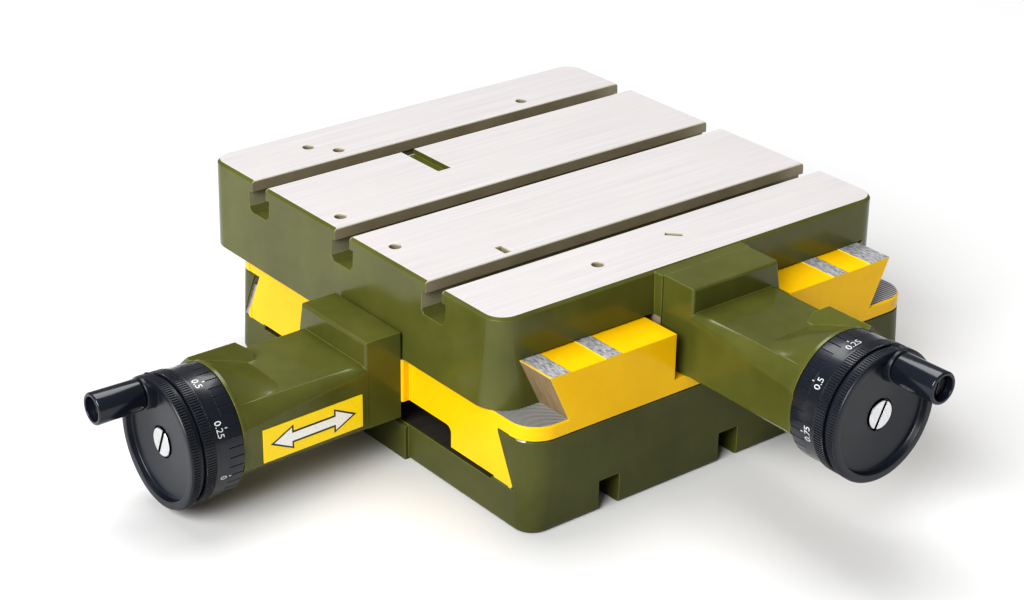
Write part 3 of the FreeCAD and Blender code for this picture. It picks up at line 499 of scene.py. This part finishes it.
# Dark browns painted on the walls of the slots' narrow necks, as the shade and dark reflections inside them.
neck_shade_brown = (0.34, 0.29, 0.20, 1)
neck_shade_deep = (0.20, 0.165, 0.11, 1)
iron_olive = (0.36, 0.36, 0.24, 1)
# Black painted in the screws' slots as the shade down in them.
slot_shade_black = (0.02, 0.02, 0.017, 1)


def painted_iron(name, paint, bare_mask, metal_look, sheen, shine, dullest=0.24, brushed=0.0):
    """Glossy enamel over cast iron. bare_mask(recipe) says where the iron is machined bright, and
    metal_look(recipe) gives that metal's colour, roughness and height; shine is how metallic it looks."""
    material, recipe, shader = new_material(name)
    light, deep, edge = paint
    bare = bare_mask(recipe)
    # The edges are lightened towards the edge colour, partly as wear and partly as a painted highlight.
    rim = recipe.shared(edge_wear_and_highlight, "Mask", Width=0.5 * mm, Unevenness=0.1)
    mottle = recipe.shared(skin_grain, "Mottle", Fineness=900.0)
    peel = recipe.shared(skin_grain, "Height", Fineness=900.0)
    enamel = recipe.colour(recipe.span(mottle, 0.3, 0.7), deep, light)
    enamel = recipe.colour(recipe.times(rim, 0.75), enamel, edge)
    metal, metal_rough, metal_height = metal_look(recipe)
    rough = recipe.span(mottle, 0.3, 0.7, dullest - 0.07, dullest)
    skin = recipe.times(peel, 0.25)
    if brushed:
        strokes = recipe.shared(tool_marks, "Height", Stretch=(25.0, 25.0, 900.0))
        skin = recipe.sum(skin, recipe.times(strokes, brushed))
    height = recipe.value(bare, skin, metal_height)
    rounded = recipe.shared(edge_wear_and_highlight, "Normal", Width=0.35 * mm, Unevenness=0.0)
    bump = recipe.add("Bump", {"Strength": 0.35, "Distance": 0.06 * mm, "Height": height, "Normal": rounded})
    connect(recipe, shader, Base_Color=recipe.colour(bare, enamel, metal), Normal=bump,
            Roughness=recipe.value(bare, rough, metal_rough), Metallic=recipe.times(bare, shine))
    shader.inputs["Specular IOR Level"].default_value = sheen
    return material


def table_bare(recipe):
    """The table's top, its slots, its small holes and its way are machined."""
    across, along, up = recipe.facing()
    painted_rim = 1 * mm
    hole_margin = 6 * mm
    width = 200 * mm
    neck_reach = slot_neck_half + 0.5 * mm
    wide_reach = slot_wide_half + 0.1 * mm
    top = in_box(recipe, (table_low.x + painted_rim, table_high.y - width + painted_rim, table_top - 0.06 * mm),
                 (table_high.x - painted_rim, table_high.y - painted_rim, beyond))
    bare = recipe.times(top, recipe.span(up, 0.9, 0.99))
    for row in slot_rows:
        neck = in_box(recipe, (table_low.x - painted_rim, row - neck_reach, slot_ledge - 0.1 * mm),
                      (beyond, row + neck_reach, beyond))
        bare = recipe.most(bare, neck)
    ends = recipe.span(recipe.unsigned(across), 0.6, 0.8)
    bare = recipe.times(bare, recipe.inverse(ends))
    inside = in_box(recipe, (table_low.x + hole_margin, table_high.y - width + hole_margin, slot_ledge),
                    (table_high.x - hole_margin, table_high.y - hole_margin, beyond))
    groove = in_box(recipe, groove_near, groove_far)
    bare = recipe.most(bare, recipe.times(inside, recipe.inverse(groove)))
    way = in_box(recipe, (table_way_near, -beyond, 0), (table_way_far, beyond, way_top))
    cross = recipe.span(recipe.unsigned(along), 0.3, 0.5)
    bare = recipe.most(bare, recipe.times(way, recipe.inverse(cross)))
    sides = recipe.span(recipe.unsigned(along), 0.6, 0.8)
    for row in slot_rows:
        wide = in_box(recipe, (-beyond, row - wide_reach, slot_wall_foot), (beyond, row + wide_reach, slot_ledge))
        bare = recipe.most(bare, recipe.times(wide, sides))
    return bare


def table_metal(recipe):
    up = recipe.facing()[2]
    level = recipe.span(up, 0.5, 0.9)
    lines = recipe.shared(tool_marks, "Height", Stretch=(60.0, 3800.0, 60.0))
    streaks = recipe.shared(tool_marks, "Streaks", Stretch=(60.0, 3800.0, 60.0))
    slow = recipe.shared(skin_grain, "Mottle", Fineness=900.0)
    ground = recipe.colour(recipe.span(streaks, 0.25, 0.75), (0.56, 0.535, 0.53, 1), iron_light)
    ground = recipe.colour(recipe.span(slow, 0.5, 0.75, 0.0, 0.6), ground, (0.62, 0.575, 0.565, 1))
    # In the narrow necks above the ledge the walls are painted dark brown as the shade and dark reflections inside
    # the slots; the wide part below keeps its olive iron, and a band at the mouth stays light.
    below_ledge = in_box(recipe, (-beyond, -beyond, slot_floor), (beyond, beyond, slot_ledge))
    milled = recipe.colour(below_ledge, neck_shade_brown, iron_olive)
    wall = recipe.colour(recipe.span(lines, 0.3, 0.7, 0.0, 0.5), milled, neck_shade_deep)
    mouth = in_box(recipe, (-beyond, -beyond, slot_mouth), (beyond, beyond, beyond))
    wall = recipe.colour(mouth, wall, (0.56, 0.56, 0.42, 1))
    colour = recipe.colour(level, wall, ground)
    rough = recipe.span(streaks, 0.2, 0.8, 0.34, 0.46)
    return colour, rough, lines


def saddle_bare(recipe):
    """The saddle's plate, the flanks of its ways and the lands on top are machined."""
    across, along, up = recipe.facing()
    level = recipe.span(up, 0.9, 0.99)
    plate = in_box(recipe, (-beyond, -beyond, plate_top - 0.05 * mm), (beyond, beyond, plate_top + 0.1 * mm))
    plate = recipe.times(plate, level)
    channel = in_box(recipe, (channel_near - 0.1 * mm, -beyond, 0), (channel_far + 0.1 * mm, beyond, beyond))
    plate = recipe.times(plate, recipe.inverse(channel))
    lands = in_box(recipe, (lands_near, -beyond, way_top - 0.12 * mm), (beyond, beyond, beyond))
    lands = recipe.times(lands, level)
    undercut = recipe.span(up, -0.35, -0.45, 0.0, 1.0)
    sideways = recipe.span(recipe.unsigned(across), 0.8, 0.85)
    upper = in_box(recipe, (-beyond, -beyond, plate_top), (beyond, beyond, beyond))
    flank = recipe.times(upper, recipe.times(undercut, sideways))
    foot = in_box(recipe, (-beyond, -beyond, 0), (beyond, beyond, saddle_low.z + 0.3 * mm))
    lengthways = recipe.span(recipe.unsigned(along), 0.8, 0.85)
    lower = in_box(recipe, (saddle_low.x + 3.5 * mm, -beyond, 0), (beyond, beyond, lower_way_top))
    lower_flank = recipe.times(lower, recipe.times(lengthways, recipe.span(up, 0.3, 0.38)))
    return recipe.most(recipe.most(plate, lands), recipe.most(flank, recipe.most(foot, lower_flank)))


def saddle_metal(recipe):
    up = recipe.facing()[2]
    level = recipe.span(up, 0.5, 0.9)
    sweeps = recipe.shared(cutter_sweeps, "Height", Middle=-60 * mm, Reach=45 * mm, Pitch=1.3 * mm)
    marks = recipe.shared(tool_marks, "Height", Stretch=(260.0, 2600.0, 260.0))
    slow = recipe.shared(skin_grain, "Mottle", Fineness=900.0)
    height = recipe.value(level, marks, recipe.value(0.3, sweeps, marks))
    colour = recipe.colour(recipe.span(height, 0.25, 0.75), (0.035, 0.035, 0.036, 1), (0.46, 0.46, 0.46, 1))
    colour = recipe.colour(recipe.span(slow, 0.4, 0.7, 0.0, 0.2), colour, iron_grey)
    streaks = recipe.span(recipe.shared(tool_marks, "Height", Stretch=(90.0, 1500.0, 90.0)), 0.35, 0.62)
    lower_flank = recipe.colour(streaks, (0.14, 0.14, 0.14, 1), (0.40, 0.40, 0.41, 1))
    flank = recipe.colour(streaks, (0.03, 0.036, 0.055, 1), (0.15, 0.18, 0.27, 1))
    upper = in_box(recipe, (-beyond, -beyond, plate_top), (beyond, beyond, beyond))
    flank = recipe.colour(upper, lower_flank, flank)
    colour = recipe.colour(level, flank, colour)
    scratches = recipe.span(recipe.shared(tool_marks, "Height", Stretch=(1500.0, 380.0, 60.0)), 0.32, 0.62)
    lands = recipe.colour(scratches, (0.10, 0.10, 0.11, 1), (0.50, 0.50, 0.52, 1))
    on_top = in_box(recipe, (-beyond, -beyond, way_top - 0.5 * mm), (beyond, beyond, beyond))
    colour = recipe.colour(on_top, colour, lands)
    return colour, recipe.span(height, 0.2, 0.8, 0.30, 0.42), height


def base_bare(recipe):
    """The base's way, the rim round it and the underside are machined."""
    up = recipe.facing()[2]
    rim = in_box(recipe, (base_low.x + 3 * mm, -base_rim_half, base_high.z - 0.05 * mm),
                 (base_rim_far, base_rim_half, beyond))
    rim = recipe.times(rim, recipe.span(up, 0.9, 0.99))
    way = in_box(recipe, (-base_way_end, -base_way_half, base_way_foot), (base_way_end, base_way_half, beyond))
    ends = recipe.span(recipe.unsigned(recipe.facing()[0]), 0.6, 0.8)
    way = recipe.times(way, recipe.inverse(ends))
    foot = in_box(recipe, (-beyond, -beyond, -beyond), (beyond, beyond, 0.1 * mm))
    under = recipe.times(recipe.span(up, -0.9, -0.99), foot)
    return recipe.most(recipe.most(rim, way), under)


def base_metal(recipe):
    marks = recipe.shared(tool_marks, "Height", Stretch=(90.0, 2600.0, 90.0))
    colour = recipe.colour(recipe.span(marks, 0.25, 0.75), (0.30, 0.30, 0.30, 1), (0.58, 0.57, 0.56, 1))
    # The relief floor between the strips, under the saddle, is painted near black as the shade that falls there.
    relief = in_box(recipe, (-beyond, -relief_half, relief_floor), (beyond, relief_half, relief_top))
    shaded_relief_floor = recipe.colour(recipe.span(marks, 0.3, 0.7), (0.035, 0.033, 0.03, 1),
                                (0.075, 0.072, 0.066, 1))
    colour = recipe.colour(relief, colour, shaded_relief_floor)
    return colour, recipe.span(marks, 0.2, 0.8, 0.3, 0.45), marks


def bracket_bare(recipe):
    """The faces by which the brackets sit on the saddle and the table are machined."""
    above = 0.05 * mm
    below = 1 * mm
    x_seat = in_box(recipe, (saddle_low.x - above, -seat_half, -beyond), (saddle_low.x + below, seat_half, beyond))
    y_seat = in_box(recipe, (-seat_half, table_low.y - above, -beyond), (seat_half, table_low.y + below, beyond))
    return recipe.most(x_seat, y_seat)


def dress(node, material):
    """Gives a CAD node its material."""
    thing = frame["nodes"][node]
    if not thing.data.materials:
        thing.data.materials.append(material)
    for slot in thing.material_slots:
        slot.material = material


def plain_metal(name, light, dark, rough, stretch, shaded_from=None):
    """Bright metal with fine marks drawn out along one direction. What lies beyond the corner given
    last is painted black, as the shade down in a screw's slot."""
    material, recipe, shader = new_material(name)
    marks = recipe.shared(tool_marks, "Height", Stretch=stretch)
    slow = recipe.shared(skin_grain, "Mottle", Fineness=900.0)
    colour = recipe.colour(recipe.span(marks, 0.25, 0.75), dark, light)
    # Near white along the edges: partly wear, partly a painted highlight.
    rim = recipe.shared(edge_wear_and_highlight, "Mask", Width=0.3 * mm, Unevenness=0.1)
    colour = recipe.colour(recipe.times(rim, 0.5), colour, (0.85, 0.85, 0.84, 1))
    # The screw's slot, beyond the given corner, is painted black as shade.
    if shaded_from:
        colour = recipe.colour(in_box(recipe, shaded_from, (beyond, beyond, beyond)), colour, slot_shade_black)
    rounded = recipe.shared(edge_wear_and_highlight, "Normal", Width=0.2 * mm, Unevenness=0.0)
    bump = recipe.add("Bump", {"Strength": 0.25, "Distance": 0.03 * mm, "Height": marks, "Normal": rounded})
    connect(recipe, shader, Base_Color=colour, Normal=bump,
            Roughness=recipe.span(slow, 0.3, 0.7, rough, rough + 0.1))
    shader.inputs["Metallic"].default_value = 1.0
    return material


def moulded_black(name, rough, sheen):
    """Moulded black plastic with a faint blue cast."""
    material, recipe, shader = new_material(name)
    mottle = recipe.shared(skin_grain, "Mottle", Fineness=1400.0)
    grain = recipe.shared(skin_grain, "Height", Fineness=1400.0)
    colour = recipe.colour(recipe.span(mottle, 0.3, 0.7), (0.007, 0.009, 0.014, 1), (0.011, 0.014, 0.022, 1))
    # Lighter along the edges: partly wear, partly a painted highlight.
    rim = recipe.shared(edge_wear_and_highlight, "Mask", Width=0.25 * mm, Unevenness=0.05)
    colour = recipe.colour(recipe.times(rim, 0.35), colour, (0.045, 0.048, 0.055, 1))
    rounded = recipe.shared(edge_wear_and_highlight, "Normal", Width=0.2 * mm, Unevenness=0.0)
    bump = recipe.add("Bump", {"Strength": 0.12, "Distance": 0.03 * mm, "Height": grain, "Normal": rounded})
    connect(recipe, shader, Base_Color=colour, Normal=bump,
            Roughness=recipe.span(mottle, 0.3, 0.7, rough, rough + 0.07))
    shader.inputs["Specular IOR Level"].default_value = 0.38
    shader.inputs["Coat Weight"].default_value = sheen
    shader.inputs["Coat Roughness"].default_value = 0.12
    return material


def figure_white():
    material, recipe, shader = new_material("filled white")
    worn = recipe.sum(recipe.times(recipe.noise(recipe.place(), 2400.0, 3.0), 0.4),
                      recipe.times(recipe.noise(recipe.place(), 55.0, 2.0), 0.6))
    colour = recipe.colour(recipe.span(worn, 0.38, 0.6), (0.22, 0.23, 0.25, 1), (0.80, 0.81, 0.82, 1))
    connect(recipe, shader, Base_Color=colour)
    shader.inputs["Roughness"].default_value = 0.5
    return material


def printed_ink(name, colour, worn_colour):
    material, recipe, shader = new_material(name)
    worn = recipe.noise(recipe.place(), 1800.0, 3.0)
    connect(recipe, shader, Base_Color=recipe.colour(recipe.span(worn, 0.35, 0.65), worn_colour, colour),
            Roughness=recipe.span(worn, 0.3, 0.7, 0.3, 0.42))
    return material


green = (olive_light, olive_deep, olive_edge_wear_and_highlight)
# The base's greens are the darker copies, painted as shade.
green_shaded = (olive_shaded_light, olive_shaded_deep, olive_edge_wear_and_highlight)
yellow = (yellow_light, yellow_deep, yellow_edge_wear_and_highlight)
green_table = painted_iron("green enamel, ground table", green, table_bare, table_metal, 0.42, 0.15)
yellow_saddle = painted_iron("yellow enamel, milled saddle", yellow, saddle_bare, saddle_metal, 0.2, 0.15)
green_base = painted_iron("green enamel, milled base", green_shaded, base_bare, base_metal, 0.28, 0.4, 0.44, 0.5)
green_bracket = painted_iron("green enamel, brackets", green, bracket_bare, base_metal, 0.42, 0.4)
ground_steel = plain_metal("ground steel", (0.62, 0.60, 0.55, 1), (0.34, 0.32, 0.28, 1), 0.3,
                           (60.0, 60.0, 2600.0))
zinc = ((0.86, 0.86, 0.87, 1), (0.62, 0.62, 0.64, 1), 0.22, (900.0, 900.0, 900.0))
head_skin = 0.2 * mm
bright_zinc = plain_metal("bright zinc", *zinc)
# Each wheel screw's slot, deeper than head_skin below the head's face, is painted black as shade.
x_zinc = plain_metal("bright zinc, slot at -X", *zinc,
                     (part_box("x_wheel_screw")[0].x + head_skin, -beyond, -beyond))
y_zinc = plain_metal("bright zinc, slot at -Y", *zinc,
                     (-beyond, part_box("y_wheel_screw")[0].y + head_skin, -beyond))
turned_steel = plain_metal("turned steel", (0.60, 0.60, 0.60, 1), (0.36, 0.36, 0.37, 1), 0.26,
                           (400.0, 400.0, 400.0))
turned_bronze = plain_metal("turned bronze", (0.72, 0.47, 0.22, 1), (0.45, 0.27, 0.11, 1), 0.3,
                            (500.0, 500.0, 500.0))
black_steel = plain_metal("blackened steel", (0.10, 0.10, 0.11, 1), (0.04, 0.04, 0.045, 1), 0.4,
                          (700.0, 700.0, 700.0))
spring_blue = plain_metal("spring steel", (0.40, 0.41, 0.45, 1), (0.20, 0.21, 0.25, 1), 0.3,
                          (700.0, 700.0, 700.0))
wheel_black = moulded_black("black moulding, satin", 0.34, 0.1)
grip_black = moulded_black("black moulding, gloss", 0.14, 0.25)
dial_black = moulded_black("black moulding, dial", 0.24, 0.3)
white_fill = figure_white()
plate_yellow = printed_ink("yellow plate", (0.96, 0.72, 0.003, 1), (0.92, 0.66, 0.002, 1))
ink_black = printed_ink("printed black", (0.012, 0.012, 0.012, 1), (0.03, 0.03, 0.028, 1))
ink_white = printed_ink("printed white", (0.88, 0.88, 0.87, 1), (0.78, 0.78, 0.75, 1))


# Handwheels, dials and grips

def build_wheel(drive):
    """The wheel: a dished disc with a ribbed rim, a groove behind it and the grip's boss."""
    hub_start = 73.05 * mm
    disc_back = 89.3 * mm
    rim_back = 91.3 * mm
    rim_step = 94.3 * mm
    front = 95.0 * mm
    dish = 92.4 * mm
    screw_seat = 91.4 * mm
    spindle_end = 90.8 * mm
    bore = 4.02 * mm
    hub_radius = 9 * mm
    groove_radius = 24.7 * mm
    core_radius = 25.5 * mm
    rim_inner = 22.6 * mm
    screw_hole = 2.7 * mm
    outline = softened([
        (hub_start, bore, 0), (hub_start, hub_radius, 0.3 * mm), (disc_back, hub_radius, 0),
        (disc_back, groove_radius, 0.3 * mm), (rim_back, groove_radius, 0.3 * mm), (rim_back, core_radius, 0),
        (rim_step, core_radius, 0), (rim_step, wheel_radius - 0.1 * mm, 0.2 * mm),
        (front, 25.4 * mm, 0.5 * mm), (front, rim_inner, 0.4 * mm), (dish, rim_inner - 0.3 * mm, 0.7 * mm),
        (dish, 6.3 * mm, 0.3 * mm), (screw_seat, 6.2 * mm, 0.1 * mm), (screw_seat, screw_hole, 0),
        (spindle_end, screw_hole, 0), (spindle_end, bore, 0)])
    body = turned(drive, outline, even_angles(144))
    ribs = ribbed_ring(drive, rim_back, 94.4 * mm, 24.9 * mm, wheel_radius)
    angle = math.radians(drive.grip_angle)
    centre = (grip_offset * math.cos(angle), grip_offset * math.sin(angle))
    boss_back = 91.6 * mm
    boss_front = 96.4 * mm
    pin_hole = 2.02 * mm
    boss_outline = softened([
        (boss_back, pin_hole, 0), (boss_back, 7.0 * mm, 0), (92.6 * mm, 6.6 * mm, 0.5 * mm),
        (boss_front, 6.2 * mm, 0.6 * mm), (boss_front, pin_hole, 0)])
    boss = turned(drive, boss_outline, even_angles(64), centre=centre)
    wheel = piece(drive.name + "_wheel", [body, ribs, boss], drive.name + "_handwheel", wheel_black)
    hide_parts(drive.name + "_handwheel")


def build_dial(drive):
    """The dial ring: division lines, a band of figures and a ribbed edge to turn it by."""
    lines_start = 72.6 * mm
    lines_end = 78.9 * mm
    figures_end = 84.6 * mm
    ring_end = 88.9 * mm
    inner = dial_radius - 3 * mm
    band_radius = dial_radius - 0.02 * mm
    step_radius = dial_knurl_radius - 0.25 * mm
    sleeve = 9.05 * mm
    sleeve_outer = 11.5 * mm
    sleeve_start = 73.6 * mm
    web_start = 85.5 * mm
    web_end = 88.8 * mm
    web_radius = inner - 0.5 * mm
    lines = divided_ring(drive, lines_start, lines_end, inner, dial_radius)
    outline = softened([
        (lines_end, inner, 0), (lines_end, band_radius, 0), (83.5 * mm, band_radius, 0.1 * mm),
        (83.7 * mm, step_radius, 0.2 * mm), (figures_end, step_radius, 0), (figures_end, inner, 0)])
    band = turned(drive, outline, even_angles(144))
    ribs = ribbed_ring(drive, figures_end, ring_end, inner - 1 * mm, dial_knurl_radius)
    web_outline = softened([
        (web_start, web_radius, 0), (web_start, sleeve_outer, 0), (sleeve_start, sleeve_outer, 0),
        (sleeve_start, sleeve, 0), (web_end, sleeve, 0), (web_end, web_radius, 0)])
    web = turned(drive, web_outline, even_angles(96))
    ring = piece(drive.name + "_dial_ring", [lines, band, ribs, web], drive.name + "_dial", dial_black)
    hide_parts(drive.name + "_dial")
    marks = []
    for i in range(8):
        angle = math.radians(drive.first_number + 45.0 * i)
        value = "%g" % (0.25 * i)
        words = value if "." in value or i == 0 else value + ".0"
        marks.append(wrapped_text(drive, words, angle, number_place, number_height, dial_radius))
        marks.append(bar_on_dial(drive, angle, tick_place, tick_length, tick_width, dial_radius))
    figures = piece(drive.name + "_dial_figures", marks, drive.name + "_dial", white_fill)


def build_grip(drive):
    """The hollow-ended grip, free to turn on its shoulder screw."""
    angle = math.radians(drive.grip_angle)
    centre = (grip_offset * math.cos(angle), grip_offset * math.sin(angle))
    waist = 107 * mm
    bore = 2.55 * mm
    outline = softened([
        (grip_start, bore, 0), (grip_start, grip_radius - 0.2 * mm, 0.7 * mm),
        (waist, grip_radius - 0.1 * mm, 20 * mm), (grip_end, grip_radius, 1.3 * mm),
        (grip_end, 4.8 * mm, 0.35 * mm), (grip_seat, 4.5 * mm, 0.5 * mm), (grip_seat, bore, 0)], 6)
    grip = piece(drive.name + "_grip_sleeve", [turned(drive, outline, even_angles(72), centre=centre)],
                 drive.name + "_grip", grip_black, 40.0)
    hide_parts(drive.name + "_grip")


def threaded_rod(drive, start, end):
    """A trapezoidal thread on a rod, cut off square at start and end along the spindle."""
    columns = 24
    corners = ((0.0, 0.0), (0.30, 0.0), (0.50, 1.0), (0.80, 1.0))
    turns = int((end - start) / thread_pitch) + 3
    rows = turns * len(corners)
    vertices = []
    for row in range(rows):
        share, depth = corners[row % len(corners)]
        out = start + thread_pitch * (row // len(corners) + share - 2)
        for column in range(columns):
            turn = column / columns
            vertices.append(drive.point(math.tau * turn, thread_radius - depth * thread_depth,
                                        out + thread_pitch * turn))
    faces = []
    for row in range(rows - 1):
        for column in range(columns - 1):
            a = row * columns + column
            faces.append((a, a + 1, a + 1 + columns, a + columns))
    for row in range(rows - 1 - len(corners)):
        a = row * columns + columns - 1
        b = (row + len(corners)) * columns
        faces.append((a, b, b + columns, a + columns))
    return cut_off(vertices, faces, drive, start, end)


def cut_off(vertices, faces, drive, start, end):
    """Cuts a rod's surface square to its spindle at both ends, and closes it there."""
    mesh = bpy.data.meshes.new("rod")
    mesh.from_pydata([tuple(v) for v in vertices], [], faces)
    work = bmesh.new()
    work.from_mesh(mesh)
    for out, normal in ((start, -drive.out), (end, drive.out)):
        place = drive.point(0.0, 0.0, out)
        result = bmesh.ops.bisect_plane(work, geom=work.verts[:] + work.edges[:] + work.faces[:],
                                        plane_co=place, plane_no=normal, clear_outer=True)
        rim = [item for item in result["geom_cut"] if isinstance(item, bmesh.types.BMEdge)]
        bmesh.ops.edgeloop_fill(work, edges=rim)
    work.verts.index_update()
    trimmed = [v.co.copy() for v in work.verts], [tuple(v.index for v in face.verts) for face in work.faces]
    work.free()
    bpy.data.meshes.remove(mesh)
    return trimmed


def build_leadscrew(drive):
    """The leadscrew: its thread, and the plain journal that carries the wheel."""
    low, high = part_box(drive.name + "_leadscrew")
    tail = min(drive.out.dot(corner - drive.origin) for corner in (low, high))
    thread = threaded_rod(drive, tail, 0.0)
    shoulder_start = -0.5 * mm
    shoulder_end = 1.95 * mm
    shoulder_radius = 4.9 * mm
    journal_end = 90.8 * mm
    journal_radius = 4 * mm
    tapped_radius = 2.52 * mm
    journal_outline = softened([
        (shoulder_start, tapped_radius, 0), (shoulder_start, shoulder_radius, 0),
        (shoulder_end, shoulder_radius, 0.2 * mm), (shoulder_end, journal_radius, 0),
        (journal_end, journal_radius, 0.3 * mm), (journal_end, tapped_radius, 0)])
    journal = turned(drive, journal_outline, even_angles(48))
    screw = piece(drive.name + "_thread", [thread, journal], drive.name + "_handwheel", turned_steel)
    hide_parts(drive.name + "_leadscrew")


# The mark on the label plate

def label_point(along, rise, proud):
    """A point on the plate's face, measured from its middle: along towards the wheel, rise upwards."""
    low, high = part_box("label_plate")
    root = Vector((high.x, high.y - label_thickness, (low.z + high.z) / 2))
    tip = Vector((low.x, low.y, (low.z + high.z) / 2))
    run = (tip - root).normalized()
    outwards = run.cross(Vector((0, 0, 1)))
    if outwards.y > 0:
        outwards = -outwards
    return (root + tip) / 2 + run * along + Vector((0, 0, rise)) + outwards * proud


def printed(outline, low, high):
    """A flat shape on the plate, given as (along, rise) points."""
    count = len(outline)
    vertices = [label_point(along, rise, proud) for proud in (low, high) for along, rise in outline]
    faces = [tuple(range(count)), tuple(range(count, 2 * count))]
    faces += [(i, (i + 1) % count, (i + 1) % count + count, i + count) for i in range(count)]
    return vertices, faces


def arrow(grow):
    """A double-headed travel arrow, drawn larger by an even margin."""
    tip = arrow_half_length + grow * 2.1
    neck = arrow_half_length - arrow_head_length - grow * 0.9
    head = arrow_head_half + grow * 1.3
    shaft = arrow_shaft_half + grow
    right = [(neck, -shaft), (neck, -head), (tip, 0.0), (neck, head), (neck, shaft)]
    left = [(-along, -rise) for along, rise in right]
    return right + left


def build_label_mark():
    dark = piece("label_outline", [printed(arrow(arrow_outline), 0.0, ink_proud)], "saddle", ink_black)
    light = piece("label_arrow", [printed(arrow(0.0), 0.0, 2 * ink_proud)], "saddle", ink_white)


for drive in drives:
    build_wheel(drive)
    build_dial(drive)
    build_grip(drive)
    build_leadscrew(drive)
build_label_mark()


# Materials of the pieces that keep their own shape

finishes = {
    "table_casting": green_table, "saddle_casting": yellow_saddle, "base_casting": green_base,
    "x_bracket": green_bracket, "y_bracket": green_bracket, "label_plate": plate_yellow,
    "lower_gib": ground_steel, "upper_gib": ground_steel,
    "x_grip_screw": black_steel, "y_grip_screw": black_steel,
    "x_wheel_screw": x_zinc, "y_wheel_screw": y_zinc,
}
by_ending = {
    "_nut": turned_bronze, "_bush": turned_bronze, "_screws": bright_zinc, "_locknuts": bright_zinc,
    "_pin": turned_steel, "_screw": bright_zinc, "_washer": spring_blue, "_spring": spring_blue,
}
replaced = [d.name + ending for d in drives for ending in ("_handwheel", "_dial", "_grip", "_leadscrew")]
for node in frame["nodes"]:
    if node in finishes:
        dress(node, finishes[node])
    elif node not in replaced:
        dress(node, next(look for ending, look in by_ending.items() if node.endswith(ending)))


# Stage, lights and camera

def build_stage():
    """A plain, pale floor."""
    material, recipe, shader = new_material("pale floor")
    drift = recipe.noise(recipe.place(), 1.2, 2.0)
    connect(recipe, shader, Base_Color=recipe.colour(drift, (0.66, 0.66, 0.66, 1), (0.69, 0.69, 0.69, 1)))
    shader.inputs["Roughness"].default_value = 0.9
    shader.inputs["Specular IOR Level"].default_value = 0.1
    mesh = bpy.data.meshes.new("floor")
    size = 6.0
    corners = [(-size, -size, 0), (size, -size, 0), (size, size, 0), (-size, size, 0)]
    mesh.from_pydata(corners, [], [(0, 1, 2, 3)])
    floor = bpy.data.objects.new("floor", mesh)
    mesh.materials.append(material)
    bpy.context.scene.collection.objects.link(floor)


def softbox(name, place, aim, size, power):
    light = bpy.data.lights.new(name, "AREA")
    light.shape = "RECTANGLE"
    light.size, light.size_y = size
    light.energy = power
    lamp = bpy.data.objects.new(name, light)
    lamp.visible_camera = False
    bpy.context.scene.collection.objects.link(lamp)
    lamp.location = place
    lamp.rotation_euler = (Vector(aim) - Vector(place)).to_track_quat("-Z", "Y").to_euler()


def build_lights():
    softbox("key", (-2.40, -0.80, 1.85), aim=(0, 0, 0.04), size=(2.0, 1.6), power=118.0)
    softbox("overhead", (0.5, 1.0, 2.7), aim=(0, 0, 0.05), size=(2.0, 2.0), power=58.0)
    world = bpy.data.worlds.new("studio")
    world.use_nodes = True
    back = world.node_tree.nodes["Background"]
    back.inputs["Color"].default_value = (1.0, 1.0, 1.0, 1)
    back.inputs["Strength"].default_value = 0.2
    bpy.context.scene.world = world


def build_camera():
    """The camera of the photograph, without shift."""
    camera = bpy.data.cameras.new("camera")
    camera.sensor_width = 36.0
    camera.lens = 78.02
    holder = bpy.data.objects.new("camera", camera)
    bpy.context.scene.collection.objects.link(holder)
    holder.location = (-0.5411, -0.6401, 0.4329)
    holder.rotation_euler = (math.radians(64.311), math.radians(-0.794), math.radians(-38.274))
    camera.clip_start = 0.01
    camera.clip_end = 50.0
    bpy.context.scene.camera = holder


build_stage()
build_lights()
build_camera()
bpy.context.scene.view_settings.view_transform = "Standard"
bpy.context.scene.view_settings.look = "Medium High Contrast"
